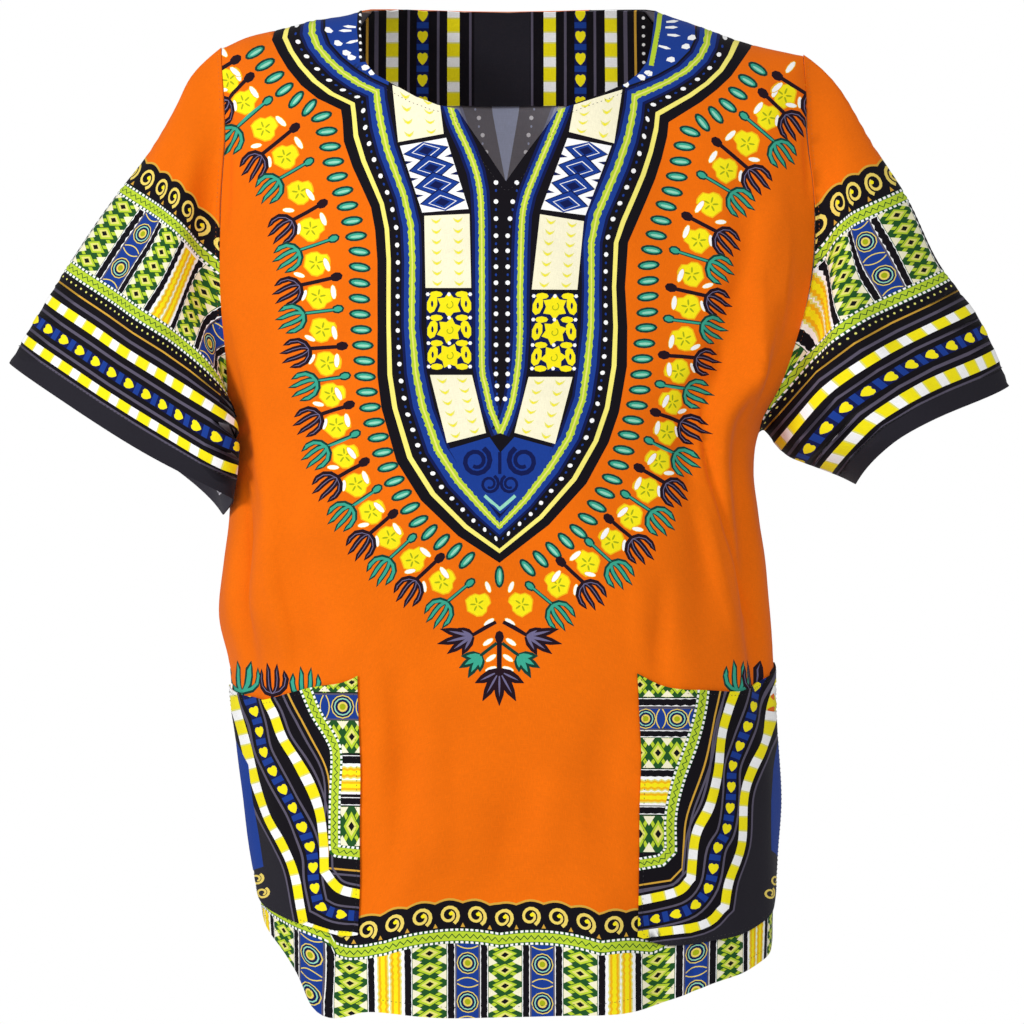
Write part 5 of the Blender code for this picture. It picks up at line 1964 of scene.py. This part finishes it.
def cloth_material(name):
    """Printed plain-weave cotton: the ink of each face, with threads, slubs and a soft nap."""
    material = bpy.data.materials.new(name)
    material.use_nodes = True
    tree = material.node_tree
    shader = tree.nodes["Principled BSDF"]
    shader.inputs["Roughness"].default_value = 0.82
    shader.inputs["Specular IOR Level"].default_value = 0.12
    shader.inputs["Sheen Weight"].default_value = 0.04
    shader.inputs["Sheen Roughness"].default_value = 0.45
    ink = node(tree, "ShaderNodeAttribute", attribute_name="ink")
    flat = node(tree, "ShaderNodeAttribute", attribute_name="flat")
    threads = []
    for stretch in ((2600.0, 210.0, 1.0), (210.0, 2600.0, 1.0)):
        scale = node(tree, "ShaderNodeVectorMath", operation="MULTIPLY")
        scale.inputs[1].default_value = stretch
        tree.links.new(flat.outputs["Vector"], scale.inputs[0])
        noise = node(tree, "ShaderNodeTexNoise")
        noise.inputs["Scale"].default_value = 1.0
        noise.inputs["Detail"].default_value = 1.0
        tree.links.new(scale.outputs[0], noise.inputs["Vector"])
        threads.append(noise)
    weave = node(tree, "ShaderNodeMath", operation="MAXIMUM")
    tree.links.new(threads[0].outputs["Fac"], weave.inputs[0])
    tree.links.new(threads[1].outputs["Fac"], weave.inputs[1])
    dye = node(tree, "ShaderNodeTexNoise")
    dye.inputs["Scale"].default_value = 16.0
    dye.inputs["Detail"].default_value = 4.0
    tree.links.new(flat.outputs["Vector"], dye.inputs["Vector"])
    cloudy = node(tree, "ShaderNodeMapRange")
    cloudy.inputs["From Min"].default_value = 0.3
    cloudy.inputs["From Max"].default_value = 0.7
    cloudy.inputs["To Min"].default_value = 0.93
    cloudy.inputs["To Max"].default_value = 1.04
    tree.links.new(dye.outputs["Fac"], cloudy.inputs["Value"])
    fibre = node(tree, "ShaderNodeMapRange")
    fibre.inputs["From Min"].default_value = 0.35
    fibre.inputs["From Max"].default_value = 0.75
    fibre.inputs["To Min"].default_value = 0.90
    fibre.inputs["To Max"].default_value = 1.05
    tree.links.new(weave.outputs[0], fibre.inputs["Value"])
    shade = node(tree, "ShaderNodeMath", operation="MULTIPLY")
    tree.links.new(cloudy.outputs[0], shade.inputs[0])
    tree.links.new(fibre.outputs[0], shade.inputs[1])
    tint = node(tree, "ShaderNodeVectorMath", operation="SCALE")
    tree.links.new(ink.outputs["Color"], tint.inputs[0])
    tree.links.new(shade.outputs[0], tint.inputs["Scale"])
    tree.links.new(tint.outputs[0], shader.inputs["Base Color"])
    bump = node(tree, "ShaderNodeBump")
    bump.inputs["Strength"].default_value = 0.35
    bump.inputs["Distance"].default_value = 0.0004
    tree.links.new(weave.outputs[0], bump.inputs["Height"])
    tree.links.new(bump.outputs["Normal"], shader.inputs["Normal"])
    return material


def finish_piece(piece, name, size, held, rests_on):
    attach(piece, "root")
    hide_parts(name)
    list(rests_on)


def cloth_area(points, faces):
    a, b, c = (points[faces[:, i]] for i in range(3))
    return float(np.linalg.norm(np.cross(b - a, c - a), axis=1).sum() / 2)


def panel_piece(face, materials):
    back = face == "back"
    cloth = Cloth(flat_outline(body_outline(face)), "orange")
    cloth.frame = drawn_on_back if back else seen_on_body
    neck_and_border(cloth, back)
    hem_print(cloth, back)
    places, faces, inks = cloth.cut(body_grid(math.pi if back else 0.0))
    points, normals = lay_on_body(places)
    piece = cloth_mesh(face + "_cloth", places, faces, inks, points, normals, materials)
    return piece, cloth_area(points, faces)


def sleeve_piece(side, materials):
    form = SleeveForm(side)
    cloth = Cloth(form.outline(), "orange")
    heights = np.array(SLEEVE_HEIGHTS[side], dtype=float)
    cloth.frame = lambda line: np.stack(
        [line[:, 0], np.interp(line[:, 1], heights[:, 0], heights[:, 1])], axis=-1) * SLEEVE_PIXEL
    sleeve_print(cloth, SLEEVE_REACH)
    places, faces, inks = cloth.cut(flat_grid(cloth.low, cloth.high))
    points, normals = form.lay(places)
    name = "sleeve_" + side + "_cloth"
    return cloth_mesh(name, places, faces, inks, points, normals, materials), cloth_area(points, faces)


def pocket_piece(side, materials):
    cloth = Cloth(flat_outline(pocket_outline(POCKETS["pocket_" + side], side)), "black")
    cloth.frame = seen_on_body
    pocket_print(cloth, side)
    places, faces, inks = cloth.cut(body_grid())
    points, normals = lay_on_body(places, POCKET_LIFT)
    name = "pocket_" + side + "_cloth"
    return cloth_mesh(name, places, faces, inks, points, normals, materials), cloth_area(points, faces)


def wide_facing_outline():
    """The facing's outline with its ends under the front's neckline, as far as the photograph shows."""
    rows = [place_on_body(x, z, back=True) for x, z in BACK_NECK]
    left_x = BACK_NECK[0][0] - FACING_REACH
    right_x = BACK_NECK[-1][0] + FACING_REACH
    edge = [(right_x - FACING_REACH * 0.2, FACING_TOP_Z)]
    edge += [(right_x, z) for z in FACING_SIDE_ZS]
    edge += [(float(x), FACING_FOOT_Z) for x in np.linspace(right_x, left_x, FACING_FOOT_STEPS + 1)]
    edge += [(left_x, z) for z in FACING_SIDE_ZS[::-1]]
    edge += [(left_x + FACING_REACH * 0.2, FACING_TOP_Z)]
    rows += [place_on_body(x, z, back=True) for x, z in edge]
    return [(float(angle), float(down)) for angle, down in rows]


def facing_piece(materials):
    cloth = Cloth(flat_outline(wide_facing_outline()), "black")
    cloth.frame = seen_inside_back
    facing_print(cloth)
    places, faces, inks = cloth.cut(body_grid(math.pi))
    points, normals = lay_on_body(places, FACING_LIFT)
    piece = cloth_mesh("facing_cloth", places, faces, inks, points, normals, materials, True)
    return piece, cloth_area(points, faces)


# Sewing: the run of one stitch, its length and half its thickness
STITCH_PITCH = 0.0034
STITCH_LENGTH = 0.0024
STITCH_HALF = 0.00028
THREADS = {"orange": (0.62, 0.16, 0.01, 1.0), "black": (0.012, 0.010, 0.014, 1.0)}


def thread_material(name, colour):
    """Matt spun thread with a fine twist."""
    material = bpy.data.materials.new(name)
    material.use_nodes = True
    tree = material.node_tree
    shader = tree.nodes["Principled BSDF"]
    shader.inputs["Base Color"].default_value = colour
    shader.inputs["Roughness"].default_value = 0.7
    shader.inputs["Sheen Weight"].default_value = 0.1
    twist = node(tree, "ShaderNodeTexNoise")
    twist.inputs["Scale"].default_value = 1800.0
    bump = node(tree, "ShaderNodeBump")
    bump.inputs["Strength"].default_value = 0.4
    bump.inputs["Distance"].default_value = 0.0001
    tree.links.new(twist.outputs["Fac"], bump.inputs["Height"])
    tree.links.new(bump.outputs["Normal"], shader.inputs["Normal"])
    return material


def stitches(name, lines, lay, material):
    """Rows of stitches along lines of the flat plane, one mesh."""
    verts, faces = [], []
    for line in lines:
        line = np.asarray(line, dtype=float)
        points, normals = lay(line)
        run = np.concatenate([[0.0], np.cumsum(np.linalg.norm(np.diff(points, axis=0), axis=1))])
        for start in np.arange(STITCH_PITCH / 2, run[-1] - STITCH_PITCH, STITCH_PITCH):
            at = [start, start + STITCH_LENGTH]
            ends = np.stack([np.interp(at, run, points[:, i]) for i in range(3)], axis=-1)
            up = unit(np.array([np.interp(start, run, normals[:, i]) for i in range(3)]))
            ahead = unit(ends[1] - ends[0])
            side = np.cross(ahead, up) * STITCH_HALF
            ends = ends + up * (VISIBLE_WALL / 2)
            middle = (ends[0] + ends[1]) / 2
            first = len(verts)
            low = up * -STITCH_HALF * 0.6
            top = middle + up * STITCH_HALF * 1.3
            verts += [ends[0] + low, middle + side, top, middle - side, ends[1] + low]
            faces += [(first, first + 2, first + 1), (first, first + 3, first + 2),
                      (first, first + 1, first + 3),
                      (first + 4, first + 1, first + 2), (first + 4, first + 2, first + 3),
                      (first + 4, first + 3, first + 1)]
    mesh = bpy.data.meshes.new(name)
    mesh.from_pydata([tuple(v) for v in verts], [], faces)
    mesh.materials.append(material)
    mesh.shade_smooth()
    piece = bpy.data.objects.new(name, mesh)
    bpy.context.scene.collection.objects.link(piece)
    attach(piece, "root")


def edge_between(line, first, last, inset):
    """Part of a closed outline, moved inwards and given points a short step apart."""
    part = np.asarray(line[first:last], dtype=float)
    side = mitred(part)
    if signed_area(np.asarray(line)) < 0:
        side = -side
    part = part + side * inset
    run = np.concatenate([[0.0], np.cumsum(np.linalg.norm(np.diff(part, axis=0), axis=1))])
    at = np.linspace(0, run[-1], max(int(run[-1] / 0.004), 2))
    return np.stack([np.interp(at, run, part[:, i]) for i in (0, 1)], axis=-1)


def neck_line(outline, rows, back):
    """Where the neckline's points are in a panel's outline."""
    first = flat_outline([place_on_body(*rows[-1], back=back)])[0]
    gaps = np.linalg.norm(outline - first, axis=1)
    start = int(gaps.argmin())
    return start, start + len(rows)


def sew():
    orange = thread_material("orange_thread", THREADS["orange"])
    black = thread_material("black_thread", THREADS["black"])
    for face, rows in (("front", FRONT_NECK), ("back", BACK_NECK)):
        outline = flat_outline(body_outline(face))
        first, last = neck_line(outline, rows, face == "back")
        neck = edge_between(outline, first, last, 0.0036)
        hem = edge_between(outline, 1, HEM_POINTS - 3, 0.0075)
        stitches(face + "_neck_stitches", [neck], lay_on_body, black)
        stitches(face + "_hem_stitches", [hem], lay_on_body, black)
    for side in ("left", "right"):
        form = SleeveForm(side)
        around = np.linspace(form.around[0] * 0.995, form.around[-1] * 0.995, 300)
        cuffs = [np.stack([around, np.full(300, up)], axis=-1) for up in (0.0155,)]
        stitches("cuff_" + side + "_stitches", cuffs, form.lay, black)
        seam = [np.stack([around * 0.9, np.interp(around * 0.9, form.around, form.up[0]) - 0.0035], axis=-1)]
        stitches("armhole_" + side + "_stitches", seam, form.lay, orange)
        outline = flat_outline(pocket_outline(POCKETS["pocket_" + side], side))
        closed = np.concatenate([outline, outline[:1]])
        rows = [edge_between(closed, 0, len(closed), 0.0028)]

        def on_pocket(line):
            points, normals = lay_on_body(line, POCKET_LIFT)
            return points, normals

        stitches("pocket_" + side + "_stitches", rows, on_pocket, black)


def build_shirt():
    orange = [cloth_material("orange_print_cotton"), cloth_material("orange_print_cotton_wrong_side")]
    border = [cloth_material("border_print_cotton"), cloth_material("border_print_cotton_wrong_side")]
    facing = [cloth_material("facing_print_cotton"), cloth_material("facing_print_cotton_wrong_side")]
    made = {}
    for face in ("front", "back"):
        made[face] = panel_piece(face, orange)
    for side in ("left", "right"):
        made["sleeve_" + side] = sleeve_piece(side, orange)
        made["pocket_" + side] = pocket_piece(side, border)
    made["back_neck_facing"] = facing_piece(facing)
    for name, (piece, area) in made.items():
        size, held, rests_on = SHEETS[name]
        finish_piece(piece, name, size, held, rests_on)
    sew()


# Cut of each piece: widest and longest run along its form, how it is held, what it rests on
SHEETS = {
    "front": ((0.570, 0.801), "draped", ()),
    "back": ((0.554, 0.809), "draped", ()),
    "sleeve_left": ((0.675, 0.298), "draped", ()),
    "sleeve_right": ((0.666, 0.306), "draped", ()),
    "pocket_left": ((0.154, 0.188), "laid", ("front",)),
    "pocket_right": ((0.170, 0.198), "laid", ("front",)),
    "back_neck_facing": ((0.261, 0.090), "laid", ("back",)),
}


def area_light(name, place, aim, size, energy):
    light = bpy.data.lights.new(name, "AREA")
    light.energy = energy
    light.size = size
    made = bpy.data.objects.new(name, light)
    made.location = place
    made.rotation_euler = (Vector(aim) - Vector(place)).to_track_quat("-Z", "Y").to_euler()
    bpy.context.scene.collection.objects.link(made)


def build_stage():
    scene = bpy.context.scene
    lens = bpy.data.cameras.new("photo_camera")
    lens.sensor_width = SENSOR
    lens.lens = CAMERA_LENS
    camera = bpy.data.objects.new("photo_camera", lens)
    camera.location = (FRAME_MIDDLE[0], -CAMERA_DISTANCE, FRAME_MIDDLE[1])
    camera.rotation_euler = (math.pi / 2, 0, 0)
    scene.collection.objects.link(camera)
    scene.camera = camera
    scene.view_settings.view_transform = "Standard"
    world = bpy.data.worlds.new("studio")
    world.use_nodes = True
    tree = world.node_tree
    sky = tree.nodes["Background"]
    sky.inputs["Color"].default_value = (1.0, 1.0, 1.0, 1.0)
    sky.inputs["Strength"].default_value = 0.42
    seen = tree.nodes.new("ShaderNodeBackground")
    seen.inputs["Color"].default_value = (1.0, 1.0, 1.0, 1.0)
    seen.inputs["Strength"].default_value = 1.0
    rays = tree.nodes.new("ShaderNodeLightPath")
    both = tree.nodes.new("ShaderNodeMixShader")
    tree.links.new(rays.outputs["Is Camera Ray"], both.inputs[0])
    tree.links.new(sky.outputs[0], both.inputs[1])
    tree.links.new(seen.outputs[0], both.inputs[2])
    tree.links.new(both.outputs[0], tree.nodes["World Output"].inputs["Surface"])
    scene.world = world
    area_light("key", (-2.3, -2.0, 0.5), (0, 0, -0.4), 0.9, 50.0)
    area_light("fill", (0.9, -2.5, 1.1), (0, 0, -0.4), 1.3, 27.0)
    bpy.ops.mesh.primitive_plane_add(size=4.4, location=(0, 0, FLOOR_Z))
    floor = bpy.context.object
    floor.name = "floor"
    pale = bpy.data.materials.new("pale_floor")
    pale.use_nodes = True
    paint = pale.node_tree.nodes["Principled BSDF"]
    paint.inputs["Base Color"].default_value = (0.95, 0.95, 0.95, 1.0)
    paint.inputs["Roughness"].default_value = 0.6
    floor.data.materials.append(pale)


build_shirt()
build_stage()
